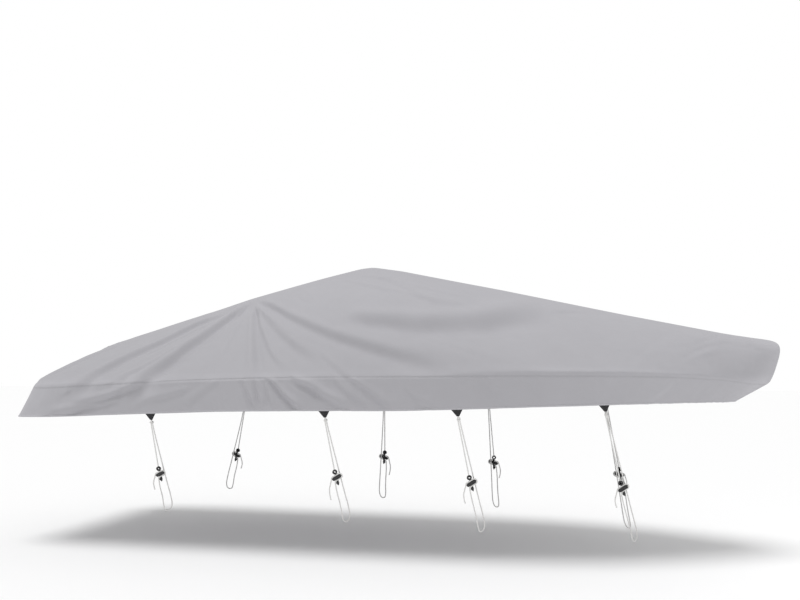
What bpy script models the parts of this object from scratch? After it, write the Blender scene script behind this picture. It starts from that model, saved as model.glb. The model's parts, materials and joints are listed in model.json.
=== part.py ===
"""A fitted cloth cover for a trailered cuddy boat: roof panel, skirt, webbing tabs and rope ties.

Metres, +X to the bow, +Y to port, +Z up. The origin is the underside of the cloth at its highest
point, where the boat's windshield carries it. Heights in the tables count up from the hem's lowest
stretch. The cover is hollow: the boat that it fits is not part of it.

The cloth is one surface with two coordinates. A rib is a line down the cloth from the ridge over the
gunwale to the hem, in the direction in which the cloth is pulled; ribs are numbered round the boat
from the middle of the transom to the nose. "Down" runs along a rib: 0 at the ridge, 1 at the edge
where the cloth turns over the gunwale, 2 at the hem.
"""
import bmesh
import bpy
import numpy as np
from mathutils import Matrix, Vector

# ---- Driving dimensions -------------------------------------------------------------------------
CLOTH = 0.003  # a sheet of coated cloth, with its folds' slack
APEX_HEIGHT = 1.579  # underside of the cloth at the windshield, above the hem
SEAM_LAP = 0.015  # the roof panel's lower edge laps over the skirt's top edge
SEAM_GAP = 0.0005  # between the two laid sheets
SKIRT_INSET = CLOTH + SEAM_GAP  # the skirt lies this far inside the roof panel's outer face
HEM_TUCK = 0.025  # how far a tab reaches up behind the hem

ROPE = 0.012  # diameter of the tie rope
GAP = 0.0003  # between pieces that touch
STARBOARD = -1
PORT = 1

# ---- The cover's form ---------------------------------------------------------------------------
# The ridge, from the transom over the support pole and the windshield to the bow rail: x, height.
RIDGE = (
    (-3.42, 0.625),
    (-2.98, 0.792),
    (-2.23, 1.012),
    (-1.75, 1.150),
    (-1.37, 1.270),  # support pole
    (-1.04, 1.351),
    (-0.58, 1.466),
    (-0.13, 1.570),
    (0.00, 1.582),  # windshield
    (0.31, 1.536),
    (1.37, 1.315),
    (2.57, 1.046),
    (3.71, 0.806),
    (3.94, 0.778),  # bow rail
)

# Each rib: where it leaves the ridge; its edge over the gunwale; its shoulder, as the share of the
# way out and of the way up that the curve is drawn to (0.5 and 0.5 is a straight line), and how hard
# it is drawn (1 is a parabola); how far below the edge the skirt's seam runs; its end at the hem; and
# how many mesh columns reach from it to the next rib.
RIB_COLUMNS = (
    "ridge_x", "edge_x", "edge_y", "edge_height", "shoulder_out", "shoulder_up", "shoulder_pull",
    "seam_drop", "hem_x", "hem_y", "hem_height", "columns",
)
RIBS = (
    (-3.05, -3.206, 0.00, 0.702, 0.50, 0.50, 1.0, 0.412, -3.50, 0.00, 0.000, 2),  # middle of the transom
    (-2.98, -3.269, 0.50, 0.554, 0.50, 0.52, 1.0, 0.264, -3.50, 0.56, -0.002, 2),
    (-2.85, -3.34, 1.00, 0.380, 0.52, 0.54, 1.0, 0.090, -3.50, 1.09, -0.004, 2),  # corner of the transom
    (-2.60, -3.13, 1.16, 0.378, 0.52, 0.54, 1.0, 0.088, -3.23, 1.20, 0.000, 3),
    (-2.25, -2.82, 1.21, 0.384, 0.50, 0.52, 1.0, 0.078, -2.86, 1.21, 0.010, 3),
    (-1.90, -2.45, 1.22, 0.392, 0.50, 0.50, 1.0, 0.064, -2.47, 1.20, 0.028, 4),
    (-1.65, -2.05, 1.22, 0.400, 0.50, 0.47, 1.0, 0.048, -2.05, 1.20, 0.045, 4),
    (-1.50, -1.65, 1.22, 0.408, 0.50, 0.46, 1.0, 0.034, -1.65, 1.20, 0.060, 4),
    (-1.41, -1.28, 1.22, 0.414, 0.50, 0.47, 1.0, 0.026, -1.28, 1.19, 0.074, 4),  # support pole
    (-1.34, -0.90, 1.22, 0.422, 0.50, 0.50, 1.0, 0.022, -0.90, 1.19, 0.083, 4),
    (-1.26, -0.50, 1.22, 0.430, 0.52, 0.57, 1.0, 0.022, -0.50, 1.19, 0.090, 4),
    (-1.10, -0.05, 1.22, 0.436, 0.56, 0.66, 1.0, 0.022, -0.05, 1.18, 0.096, 4),
    (-0.82, 0.42, 1.22, 0.440, 0.60, 0.72, 1.0, 0.022, 0.42, 1.17, 0.100, 4),
    (-0.42, 0.90, 1.21, 0.450, 0.58, 0.68, 1.0, 0.032, 0.90, 1.14, 0.112, 3),
    (0.00, 1.38, 1.18, 0.482, 0.52, 0.58, 1.0, 0.060, 1.38, 1.09, 0.128, 3),  # windshield
    (0.75, 1.88, 1.12, 0.484, 0.50, 0.50, 1.0, 0.062, 1.87, 1.00, 0.146, 3),
    (1.55, 2.42, 1.00, 0.474, 0.54, 0.52, 1.0, 0.060, 2.40, 0.83, 0.158, 3),
    (2.35, 2.93, 0.81, 0.456, 0.66, 0.62, 1.1, 0.053, 2.84, 0.62, 0.168, 3),
    (3.02, 3.40, 0.57, 0.421, 0.84, 0.76, 1.4, 0.046, 3.22, 0.38, 0.171, 3),
    (3.50, 3.77, 0.33, 0.378, 1.05, 0.86, 2.0, 0.050, 3.50, 0.17, 0.171, 3),
    (3.84, 3.99, 0.00, 0.362, 1.92, 0.93, 2.6, 0.050, 3.66, 0.00, 0.170, 0),  # nose
)
ROOF_ROWS = 9
SKIRT_ROWS = (0.25, 0.6, 1.0)  # shares of the way from the seam to the hem
CORNER_RIB = 2.0  # the skirt is cut in two lengths, across the transom and round the rest
CORNER_CUT = 0.0022  # each is cut back this far there, as their inner faces turn towards each other

# The cloth's main folds. Each runs from one (rib, down) over a middle one to a last one, with its
# half-width and its depth in metres; a trough is negative and a ridge positive.
FOLD_COLUMNS = (
    "rib_from", "down_from", "rib_mid", "down_mid", "rib_to", "down_to", "half_width", "depth",
)
STARBOARD_FOLDS = (
    (8.1, 0.05, 5.1, 0.30, 4.3, 0.98, 0.065, -0.018),  # pole to stern corner, upper trough
    (8.2, 0.07, 5.7, 0.38, 4.9, 0.98, 0.060, 0.014),
    (8.3, 0.08, 6.2, 0.47, 5.6, 1.04, 0.075, -0.022),  # pole to stern corner, lower trough
    (6.2, 0.66, 5.7, 1.25, 3.6, 1.96, 0.065, -0.014),  # dips across the seam to the hem
    (9.8, 0.12, 11.1, 0.55, 13.5, 0.96, 0.085, -0.026),  # pole to gunwale, under the windshield
    (10.2, 0.12, 12.1, 0.58, 14.1, 0.95, 0.090, 0.014),
    (9.4, 0.20, 10.3, 0.60, 11.4, 1.00, 0.070, -0.013),
    (12.2, 0.44, 14.1, 0.64, 16.5, 0.13, 0.120, -0.036),  # long hollow from windshield to bow
    (12.3, 0.66, 13.6, 0.82, 15.4, 0.98, 0.100, 0.012),
    (17.4, 0.80, 18.0, 0.58, 18.6, 0.42, 0.080, -0.009),  # over the bow rail
    (9.4, 1.02, 9.9, 1.55, 10.3, 1.98, 0.060, -0.012),  # skirt flutes
    (10.2, 1.04, 10.9, 1.60, 11.7, 1.98, 0.070, -0.020),
    (11.2, 1.05, 11.8, 1.50, 12.3, 1.92, 0.065, -0.009),
)
PORT_FOLDS = (
    (8.2, 0.05, 5.4, 0.33, 4.5, 0.98, 0.070, -0.016),
    (8.1, 0.07, 6.0, 0.42, 5.2, 0.98, 0.065, 0.012),
    (8.3, 0.10, 6.7, 0.55, 6.1, 1.05, 0.075, -0.019),
    (9.7, 0.12, 10.7, 0.55, 12.8, 0.96, 0.090, -0.024),
    (10.3, 0.12, 11.8, 0.60, 13.7, 0.95, 0.090, 0.014),
    (12.4, 0.42, 14.4, 0.60, 16.7, 0.16, 0.125, -0.034),
    (17.1, 0.78, 17.8, 0.60, 18.5, 0.44, 0.080, -0.008),
    (8.6, 1.03, 8.8, 1.50, 8.6, 1.96, 0.065, -0.014),
    (9.4, 1.02, 9.9, 1.55, 10.1, 1.97, 0.070, -0.018),
    (12.0, 1.05, 12.5, 1.50, 12.9, 1.95, 0.065, -0.011),
    (14.6, 1.10, 14.9, 1.55, 15.0, 1.95, 0.070, -0.008),
)
TAB_CALM = 0.17  # the folds die out this near to a tab, where the tie pulls the hem flat
RIB_PITCH = 0.42  # metres of outline that one rib stands for, in measuring a fold's width
ROOF_RUN = 1.40  # metres from ridge to edge
SKIRT_RUN = 0.35  # metres from edge to hem
HEM = 2.0  # the hem, in the 'down' coordinate
FOLD_STEPS = 25  # places along a fold's path from which its width is measured

# The ties on each side. Rib: whose hem end the tab is sewn to. Rail: the place on the trailer's side
# that the tie goes round. Eye share: how far down the strand the tightener hangs. Free end: its length.
TIE_COLUMNS = ("name", "rib", "rail_x", "rail_y", "rail_height", "eye_share", "free_end")
TIES = (
    ("aft", 6.25, -1.97, 0.85, -0.970, 0.515, 0.150),
    ("mid_aft", 10.76, -0.06, 0.85, -1.013, 0.500, 0.200),
    ("mid_fore", 13.42, 1.265, 0.80, -1.065, 0.510, 0.170),
    ("fore", 16.05, 2.69, 0.40, -1.170, 0.530, 0.160),
)


def smooth(values, at):
    """Catmull-Rom curve through evenly numbered values, read at the given places."""
    values = np.asarray(values, float)
    padded = np.concatenate(([2 * values[0] - values[1]], values, [2 * values[-1] - values[-2]]))
    start = np.clip(np.floor(at).astype(int), 0, len(values) - 2)
    t = at - start
    a, b, c, d = (padded[start + k] for k in range(4))
    slope_b, slope_c = (c - a) / 2, (d - b) / 2
    return (
        b
        + slope_b * t
        + (3 * (c - b) - 2 * slope_b - slope_c) * t**2
        + (2 * (b - c) + slope_b + slope_c) * t**3
    )


def rib_value(name, rib):
    column = RIB_COLUMNS.index(name)
    return smooth([row[column] for row in RIBS], rib)


def rib_place(end, rib):
    x, y, height = (rib_value(f"{end}_{axis}", rib) for axis in ("x", "y", "height"))
    return np.stack([x, -y, height], -1)


def ridge_height(x):
    xs, heights = np.array(RIDGE).T
    return np.interp(x, xs, heights)


def curve_down(rib, down):
    """Points of the starboard half's plain form, without folds, as an (n, 3) array of x, y, z."""
    ridge_x = rib_value("ridge_x", rib)
    ridge = np.stack([ridge_x, np.zeros_like(ridge_x), ridge_height(ridge_x)], -1)
    edge = rib_place("edge", rib)
    hem = rib_place("hem", rib)
    out = rib_value("shoulder_out", rib)[:, None]
    up = rib_value("shoulder_up", rib)
    shoulder = ridge + (edge - ridge) * out
    shoulder[:, 2] = edge[:, 2] + (ridge[:, 2] - edge[:, 2]) * up
    v = np.clip(down, 0, 1)[:, None]
    pull = 2 * v * (1 - v) * rib_value("shoulder_pull", rib)[:, None]
    roof = ((1 - v) ** 2 * ridge + pull * shoulder + v**2 * edge) / ((1 - v) ** 2 + pull + v**2)
    w = np.clip(down - 1, 0, None)[:, None]
    points = roof + (hem - edge) * w
    points[:, 2] -= APEX_HEIGHT
    return points


def normals(rib, down):
    """Outward unit normals of the plain form, from small steps along and across the ribs."""
    step = 0.02
    last = len(RIBS) - 1
    across = curve_down(np.minimum(rib + step, last), down) - curve_down(np.maximum(rib - step, 0), down)
    along = curve_down(rib, down + step) - curve_down(rib, np.maximum(down - step, 0))
    normal = np.cross(along, across)
    return normal / np.linalg.norm(normal, axis=1)[:, None]


def seam_down(rib):
    """Where the seam lies on each rib, in the 'down' coordinate."""
    skirt = curve_down(rib, np.full(len(rib), HEM)) - curve_down(rib, np.ones(len(rib)))
    return 1 + rib_value("seam_drop", rib) / np.linalg.norm(skirt, axis=1)


def in_metres(rib, down):
    """Rib and down laid out flat, in rough metres, where a fold's width is measured."""
    roof = np.minimum(down, 1) * ROOF_RUN
    skirt = np.maximum(down - 1, 0) * SKIRT_RUN
    return np.stack([rib * RIB_PITCH, roof + skirt], -1)


def relief(rib, down, folds):
    """How far the folds lift the cloth off its plain form, in metres."""
    lift = np.zeros(len(rib))
    here = in_metres(rib, down)
    t = np.linspace(0, 1, FOLD_STEPS)
    fade = np.sin(np.pi * t) ** 0.6
    for row in folds:
        fold = dict(zip(FOLD_COLUMNS, row))
        path_rib = bend(t, fold["rib_from"], fold["rib_mid"], fold["rib_to"])
        path_down = bend(t, fold["down_from"], fold["down_mid"], fold["down_to"])
        path = in_metres(path_rib, path_down)
        distance = np.linalg.norm(here[:, None] - path[None], axis=2)
        lift += fold["depth"] * (fade * np.exp(-((distance / fold["half_width"]) ** 2))).max(axis=1)
    for row in TIES:
        tab = in_metres(np.array([tie_values(row)["rib"]]), np.array([HEM]))
        lift *= 1 - np.exp(-((np.linalg.norm(here - tab, axis=1) / TAB_CALM) ** 4))
    return lift


def tie_values(row):
    return dict(zip(TIE_COLUMNS, row))


def bend(t, start, middle, end):
    """A parabola that passes through the middle value halfway."""
    pull = 2 * middle - (start + end) / 2
    return (1 - t) ** 2 * start + 2 * t * (1 - t) * pull + t**2 * end


def cloth_points(rib, down, side, inset=0.0):
    """Points of the folded cloth on one side, drawn in by the inset."""
    folds = STARBOARD_FOLDS if side == STARBOARD else PORT_FOLDS
    points = curve_down(rib, down) + normals(rib, down) * (relief(rib, down, folds) - inset)[:, None]
    on_plane = (down < 1e-6) | (rib < 1e-6) | (rib > len(RIBS) - 1 - 1e-6)
    points[on_plane, 1] = 0
    points[:, 1] *= -side
    return points


# ---- The ties -----------------------------------------------------------------------------------
SIDES = (("starboard", STARBOARD), ("port", PORT))

# Tab: half-width at the hem and at the tip, and its length below the hem.
TAB_HALF_WIDTH = 0.054
TAB_TIP_HALF_WIDTH = 0.012
TAB_LENGTH = 0.066
TAB_THICKNESS = 0.0025
TAB_CLEARANCE = 0.0025  # behind the skirt, whose facets and curve differ a little
BEHIND_SKIRT = SKIRT_INSET + CLOTH + TAB_CLEARANCE

KNOT_SIZE = (0.036, 0.032, 0.042)

# Tightener, in its own plane: right and down from the middle of its eye, in metres.
EYE_RADIUS = 0.0235
EYE_HOLE_RADIUS = 0.0095
BODY_CENTRE = np.array([0.011, 0.0570])
BODY_TILT = np.radians(26)
BODY_ALONG = np.array([np.cos(BODY_TILT), -np.sin(BODY_TILT)])  # the body slants up to the right
BODY_ACROSS = np.array([np.sin(BODY_TILT), np.cos(BODY_TILT)])  # and this points down to the right
BODY_HALF_AXIS = 0.0355
BODY_RADIUS = 0.0165
FIN_RADIUS = 0.0145
FIN_LENGTH = 0.027
FIN_LEAN = 0.008
FIN_ARC = (-0.1 * np.pi, 1.2 * np.pi)  # the rest of its outline runs down to a point
WRAP_RADIUS = BODY_RADIUS + ROPE / 2 + 0.0020  # of the rope's middle round the body's ends
BEND_RADIUS = 2 * ROPE
BEND_START = BODY_CENTRE - BODY_ALONG * 0.7 * BODY_HALF_AXIS + BODY_ACROSS * WRAP_RADIUS
BEND_CENTRE = BEND_START + BODY_ACROSS * BEND_RADIUS  # the fin is here, inside the rope's first bend
WEB_HALF_WIDTH = 0.011
BOSS_FRONT = -0.007  # outboard face of the raised parts
WEB_FRONT = 0.0066  # the web lies behind the rope
WEB_BACK = 0.0105
ROUND_STEPS = 12  # sides of a full circle in the tightener's outlines

# The long strand's route to the rail and round under it: what a point is measured from (the knot, or
# the lowest point of the loop under the rail), then right, down and outboard of it. The free end then
# hangs from the tightener: right, and the share of its length that it has dropped.
LONG_ROUTE = (
    ("knot", 0.008, 0.022, 0.000),
    ("knot", 0.013, 0.140, -0.006),
    ("rail", 0.046, -0.300, -0.050),
    ("rail", 0.052, -0.160, -0.068),
    ("rail", 0.052, -0.055, -0.074),
    ("rail", 0.040, -0.012, -0.062),
    ("rail", 0.022, 0.000, -0.036),
    ("rail", 0.004, -0.013, -0.010),
    ("rail", -0.001, -0.058, 0.000),
    ("rail", -0.002, -0.160, 0.000),
)
FREE_END = ((-0.010, 0.22), (-0.020, 0.48), (-0.016, 0.76), (-0.004, 1.00))
EYE_STRAND = (("knot", -0.008, 0.022, 0.0), ("eye", 0.0, -EYE_RADIUS - 0.0008, 0.0))
TURN_BETWEEN_POINTS = np.radians(20)
RUN_BETWEEN_POINTS = 0.30


def unit(vector):
    return vector / np.linalg.norm(vector)


def one_point(rib, down, side, inset):
    return cloth_points(np.array([rib]), np.array([down]), side, inset)[0]


def tie_frame(tie, side):
    """Where a tie hangs: its hem point, and its knot, eye, rail and right, down and outboard axes."""
    hem = one_point(tie["rib"], HEM, side, BEHIND_SKIRT)
    rail = np.array([tie["rail_x"], side * tie["rail_y"], tie["rail_height"] - APEX_HEIGHT])
    down = unit(rail - hem)
    right = unit(np.cross(-down, (0.0, side, 0.0)))
    out = np.cross(right, -down)
    knot = hem + down * (TAB_LENGTH + GAP + KNOT_SIZE[2] / 2) - out * TAB_THICKNESS / 2
    eye = knot + (rail - knot) * tie["eye_share"]
    return {"hem": hem, "knot": knot, "eye": eye, "rail": rail, "right": right, "down": down, "out": out}


def on_route(frame, rows):
    return [
        frame[start] + frame["right"] * right + frame["down"] * down + frame["out"] * out
        for start, right, down, out in rows
    ]


def beside_body(shares, side_of_body):
    """Places of the rope's middle along the body: shares of its half axis, under (1) or over (-1) it."""
    across = BODY_ACROSS * WRAP_RADIUS * side_of_body
    return [BODY_CENTRE + BODY_ALONG * BODY_HALF_AXIS * share + across for share in shares]


def round_body_end(end, degrees, side_of_body):
    """Places round the body's right (1) or left (-1) end, turning away from under (1) or over (-1) it."""
    centre = BODY_CENTRE + BODY_ALONG * BODY_HALF_AXIS * end
    turns = np.radians(degrees)
    spokes = [BODY_ACROSS * side_of_body * np.cos(turn) + BODY_ALONG * end * np.sin(turn) for turn in turns]
    return [centre + spoke * WRAP_RADIUS for spoke in spokes]


def round_tightener():
    """The rope up to the fin, under the body, round its right end, back over it and round its left end."""
    left = np.array([-1.0, 0.0])
    up_to_fin = [BEND_CENTRE + left * BEND_RADIUS + np.array([0, drop]) for drop in (0.08, 0.03, 0.0)]
    over_fin = [BEND_CENTRE + unit(left - BODY_ACROSS) * BEND_RADIUS]
    under = beside_body((-0.7, 0.15, 1), 1) + round_body_end(1, (45, 90, 135), 1)
    over = beside_body((1, 0.1, -0.9), -1) + round_body_end(-1, (32, 64), -1)
    return up_to_fin + over_fin + under + over


def long_route(frame, free_end):
    """The long strand's own points: down round the rail, up to the tightener and off it."""
    points = on_route(frame, LONG_ROUTE)
    points += on_route(frame, [("eye", right, down, 0) for right, down in round_tightener()])
    leaves = points[-1]
    for right, share in FREE_END:
        points.append(leaves + frame["right"] * right - np.array([0, 0, free_end * share]))
    return np.array(points)


def smooth_route(points, steps=24):
    """A centripetal Catmull-Rom curve through the points, thinned where it runs straight."""
    ends = (2 * points[0] - points[1], 2 * points[-1] - points[-2])
    p = np.vstack([ends[0], points, ends[1]])
    knots = np.concatenate([[0], np.cumsum(np.sqrt(np.linalg.norm(np.diff(p, axis=0), axis=1)))])
    curve = [points[0]]
    for i in range(1, len(p) - 2):
        t = np.linspace(knots[i], knots[i + 1], steps + 1)[1:, None]
        a = [blend(p[k], p[k + 1], knots[k], knots[k + 1], t) for k in (i - 1, i, i + 1)]
        b = [blend(a[k], a[k + 1], knots[i - 1 + k], knots[i + 1 + k], t) for k in (0, 1)]
        curve.extend(blend(b[0], b[1], knots[i], knots[i + 1], t))
    return thin_out(np.array(curve))


def blend(start, end, at_start, at_end, at):
    return (start * (at_end - at) + end * (at - at_start)) / (at_end - at_start)


def thin_out(curve):
    """Keeps a point where the curve has turned or run far enough since the last one kept."""
    kept = [curve[0]]
    turned = run = 0.0
    for before, here, after in zip(curve, curve[1:], curve[2:]):
        run += np.linalg.norm(here - before)
        turned += np.arccos(np.clip(unit(here - before) @ unit(after - here), -1, 1))
        if turned >= TURN_BETWEEN_POINTS or run >= RUN_BETWEEN_POINTS:
            kept.append(here)
            turned = run = 0.0
    return np.array(kept + [curve[-1]])


# ---- Making the objects -------------------------------------------------------------------------
CLOTH_EDGE_ANGLE = np.radians(60)  # past this an edge is shaded sharp
PLASTIC_EDGE_ANGLE = np.radians(35)


def clear_scene():
    for obj in list(bpy.data.objects):
        bpy.data.objects.remove(obj)


def new_collection(name, hidden=False):
    collection = bpy.data.collections.new(name)
    bpy.context.scene.collection.children.link(collection)
    collection.hide_render = hidden
    return collection


def new_material(name, colour, roughness, metallic=0.0):
    material = bpy.data.materials.new(name)
    material.use_nodes = True
    shader = material.node_tree.nodes["Principled BSDF"]
    shader.inputs["Base Color"].default_value = (*colour, 1.0)
    shader.inputs["Roughness"].default_value = roughness
    shader.inputs["Metallic"].default_value = metallic
    return material


def new_object(name, data, material, collection):
    obj = bpy.data.objects.new(name, data)
    collection.objects.link(obj)
    data.materials.clear()
    data.materials.append(material)
    return obj


def smooth_shaded(mesh, angle):
    mesh.shade_smooth()
    mesh.set_sharp_from_angle(angle=angle)


def column_ribs():
    """The rib coordinate of every mesh column, from the transom's middle to the nose."""
    counts = [row[RIB_COLUMNS.index("columns")] for row in RIBS[:-1]]
    ribs = [i + k / count for i, count in enumerate(counts) for k in range(count)]
    return np.array(ribs + [len(RIBS) - 1.0])


def sheet_mesh(name, ribs, rows, inset, cut_first=0.0, cut_last=0.0):
    """An open sheet over both sides. Rows holds the 'down' of every mesh row at each of the ribs. Its
    first and last columns are cut back by the metres given."""
    mesh = bmesh.new()
    for side in (STARBOARD, PORT):
        grid = []
        for downs in rows:
            points = cloth_points(ribs, downs, side, inset)
            points[0] += unit(points[1] - points[0]) * cut_first
            points[-1] += unit(points[-2] - points[-1]) * cut_last
            grid.append([mesh.verts.new(point) for point in points])
        for upper, lower in zip(grid, grid[1:]):
            for i in range(len(ribs) - 1):
                corners = (upper[i], upper[i + 1], lower[i + 1], lower[i])
                mesh.faces.new(corners if side == PORT else corners[::-1])
    bmesh.ops.remove_doubles(mesh, verts=mesh.verts, dist=1e-5)
    data = bpy.data.meshes.new(name)
    mesh.to_mesh(data)
    mesh.free()
    smooth_shaded(data, CLOTH_EDGE_ANGLE)
    return data


def give_thickness(obj, thickness):
    solidify = obj.modifiers.new("thickness", "SOLIDIFY")
    solidify.thickness = thickness
    solidify.offset = -1.0


def roof_rows(ribs):
    """From the ridge to the edge, then over it to the lapped seam."""
    shares = np.linspace(0, 1, ROOF_ROWS + 1)
    return [np.full(len(ribs), share) for share in shares] + [lap_down(ribs), seam_down(ribs)]


def skirt_rows(ribs):
    """From behind the roof panel's lower edge down to the hem."""
    seam = seam_down(ribs)
    return [lap_down(ribs), seam] + [seam + (HEM - seam) * share for share in SKIRT_ROWS]


def lap_down(ribs):
    return seam_down(ribs) - SEAM_LAP / SKIRT_RUN


def make_roof(collection):
    material = new_material("roof_cloth", (0.46, 0.46, 0.47), 0.85)
    ribs = column_ribs()
    roof = new_object("top_panel", sheet_mesh("top_panel", ribs, roof_rows(ribs), 0.0), material, collection)
    give_thickness(roof, CLOTH)


def make_skirt(collection):
    material = new_material("skirt_cloth", (0.44, 0.44, 0.45), 0.85)
    ribs = column_ribs()
    stern, sides = ribs[ribs <= CORNER_RIB], ribs[ribs >= CORNER_RIB]
    across = sheet_mesh("skirt_transom", stern, skirt_rows(stern), SKIRT_INSET, cut_last=CORNER_CUT)
    around = sheet_mesh("skirt", sides, skirt_rows(sides), SKIRT_INSET, cut_first=CORNER_CUT)
    for mesh in (across, around):
        give_thickness(new_object(mesh.name, mesh, material, collection), CLOTH)


def make_tab(name, tie, frame, side, material, collection):
    """A webbing triangle: its top lies behind the hem, and below it narrows towards the pull."""
    hem_ends = [one_point(tie["rib"] + share, HEM, side, 0.0) for share in (-0.5, 0.5)]
    rib_width = np.linalg.norm(hem_ends[1] - hem_ends[0])
    ribs = tie["rib"] + np.array((-1, 0, 1)) * TAB_HALF_WIDTH / rib_width
    at_hem = [one_point(rib, HEM, side, BEHIND_SKIRT) for rib in ribs]
    rows = [[one_point(rib, HEM - HEM_TUCK / SKIRT_RUN, side, BEHIND_SKIRT) for rib in ribs], at_hem]
    for share in (0.5, 1.0):
        narrowed = 1 - (1 - TAB_TIP_HALF_WIDTH / TAB_HALF_WIDTH) * share
        tip = frame["hem"] + frame["down"] * TAB_LENGTH * share
        rows.append([tip + (point - frame["hem"]) * narrowed for point in at_hem])
    mesh = bmesh.new()
    grid = [[mesh.verts.new(point) for point in row] for row in rows]
    for upper, lower in zip(grid, grid[1:]):
        for i in range(2):
            corners = (upper[i], upper[i + 1], lower[i + 1], lower[i])
            mesh.faces.new(corners if side == PORT else corners[::-1])
    data = bpy.data.meshes.new(name)
    mesh.to_mesh(data)
    mesh.free()
    give_thickness(new_object(name, data, material, collection), TAB_THICKNESS)


def knot_mesh():
    mesh = bmesh.new()
    bmesh.ops.create_uvsphere(mesh, u_segments=8, v_segments=6, radius=0.5)
    bmesh.ops.scale(mesh, vec=KNOT_SIZE, verts=mesh.verts)
    data = bpy.data.meshes.new("knot")
    mesh.to_mesh(data)
    mesh.free()
    data.shade_smooth()
    return data


def arc(centre, radius, start, end, steps):
    """Points (right, up) along an arc; angles count anticlockwise from the right."""
    angles = np.linspace(start, end, steps + 1)
    return [(centre[0] + radius * np.cos(angle), centre[1] + radius * np.sin(angle)) for angle in angles]


def flat_piece(name, loops, front, back, collection):
    """A flat outline with thickness, as a closed mesh; a second loop is a hole."""
    curve = bpy.data.curves.new(name, "CURVE")
    curve.dimensions = "2D"
    curve.fill_mode = "BOTH"
    curve.extrude = (back - front) / 2
    for loop in loops:
        spline = curve.splines.new("POLY")
        spline.points.add(len(loop) - 1)
        for point, (right, up) in zip(spline.points, loop):
            point.co = (right, up, 0, 1)
        spline.use_cyclic_u = True
    drawn = bpy.data.objects.new(name + "_outline", curve)
    collection.objects.link(drawn)
    # The outline is drawn flat in X and Y; this stands it up in X and Z, with its middle at the depth.
    drawn.matrix_world = Matrix.Translation((0, (front + back) / 2, 0)) @ Matrix.Rotation(np.pi / 2, 4, "X")
    bpy.context.view_layer.update()
    evaluated = drawn.evaluated_get(bpy.context.evaluated_depsgraph_get())
    data = bpy.data.meshes.new_from_object(evaluated)
    data.transform(drawn.matrix_world)
    bpy.data.objects.remove(drawn)
    mesh = bmesh.new()
    mesh.from_mesh(data)
    bmesh.ops.remove_doubles(mesh, verts=mesh.verts, dist=1e-6)
    bmesh.ops.recalc_face_normals(mesh, faces=mesh.faces)
    mesh.to_mesh(data)
    mesh.free()
    piece = bpy.data.objects.new(name, data)
    piece.display_type = "WIRE"
    collection.objects.link(piece)
    return piece


def tightener_mesh(collection):
    """Eye, slanted body and fin, raised from one web that passes behind the rope."""
    eye = arc((0, 0), EYE_RADIUS, 0, 2 * np.pi, ROUND_STEPS + 2)[:-1]
    hole = arc((0, 0), EYE_HOLE_RADIUS, 0, -2 * np.pi, ROUND_STEPS - 4)[:-1]
    flip = np.array([1, -1])  # places count down, outlines count up
    along = BODY_ALONG * BODY_HALF_AXIS * flip
    centre, fin_centre = BODY_CENTRE * flip, BEND_CENTRE * flip
    quarter = np.pi / 2
    steps = ROUND_STEPS // 2
    body = arc(centre + along, BODY_RADIUS, BODY_TILT - quarter, BODY_TILT + quarter, steps)
    body += arc(centre - along, BODY_RADIUS, BODY_TILT + quarter, BODY_TILT + 3 * quarter, steps)
    fin = arc(fin_centre, FIN_RADIUS, *FIN_ARC, steps)
    fin.append((fin_centre[0] + FIN_LEAN, fin_centre[1] - FIN_LENGTH))
    spine = [(0.0, 0.0), centre, fin_centre]
    web = [(x - WEB_HALF_WIDTH, up) for x, up in spine] + [(x + WEB_HALF_WIDTH, up) for x, up in spine[::-1]]
    whole = flat_piece("tightener", [eye, hole], BOSS_FRONT, WEB_BACK, collection)
    for name, outline, front in (("body", body, BOSS_FRONT), ("fin", fin, BOSS_FRONT)):
        join(whole, flat_piece(name, [outline], front, WEB_BACK, collection))
    web_piece = flat_piece("web", [web], WEB_FRONT, WEB_BACK, collection)
    bore = flat_piece("bore", [hole], WEB_FRONT - GAP, WEB_BACK + GAP, collection)
    join(web_piece, bore, "DIFFERENCE")
    join(whole, web_piece)
    bpy.context.view_layer.update()
    evaluated = whole.evaluated_get(bpy.context.evaluated_depsgraph_get())
    data = bpy.data.meshes.new_from_object(evaluated)
    smooth_shaded(data, PLASTIC_EDGE_ANGLE)
    return data


def join(whole, piece, operation="UNION"):
    boolean = whole.modifiers.new(piece.name, "BOOLEAN")
    boolean.operation = operation
    boolean.object = piece


def make_rope(name, points, material, collection):
    curve = bpy.data.curves.new(name, "CURVE")
    curve.dimensions = "3D"
    curve.bevel_depth = ROPE / 2
    curve.bevel_resolution = 2
    curve.use_fill_caps = True
    spline = curve.splines.new("POLY")
    spline.points.add(len(points) - 1)
    for point, place in zip(spline.points, points):
        point.co = (*place, 1)
    new_object(name, curve, material, collection)


def placed(name, data, frame, at, material, collection):
    """A shared mesh, turned so that its X is the tie's right and its Z points back up the tie."""
    obj = new_object(name, data, material, collection)
    axes = Matrix([frame["right"], -frame["out"], -frame["down"]]).transposed()
    obj.matrix_world = Matrix.Translation(Vector(at)) @ axes.to_4x4()


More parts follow.
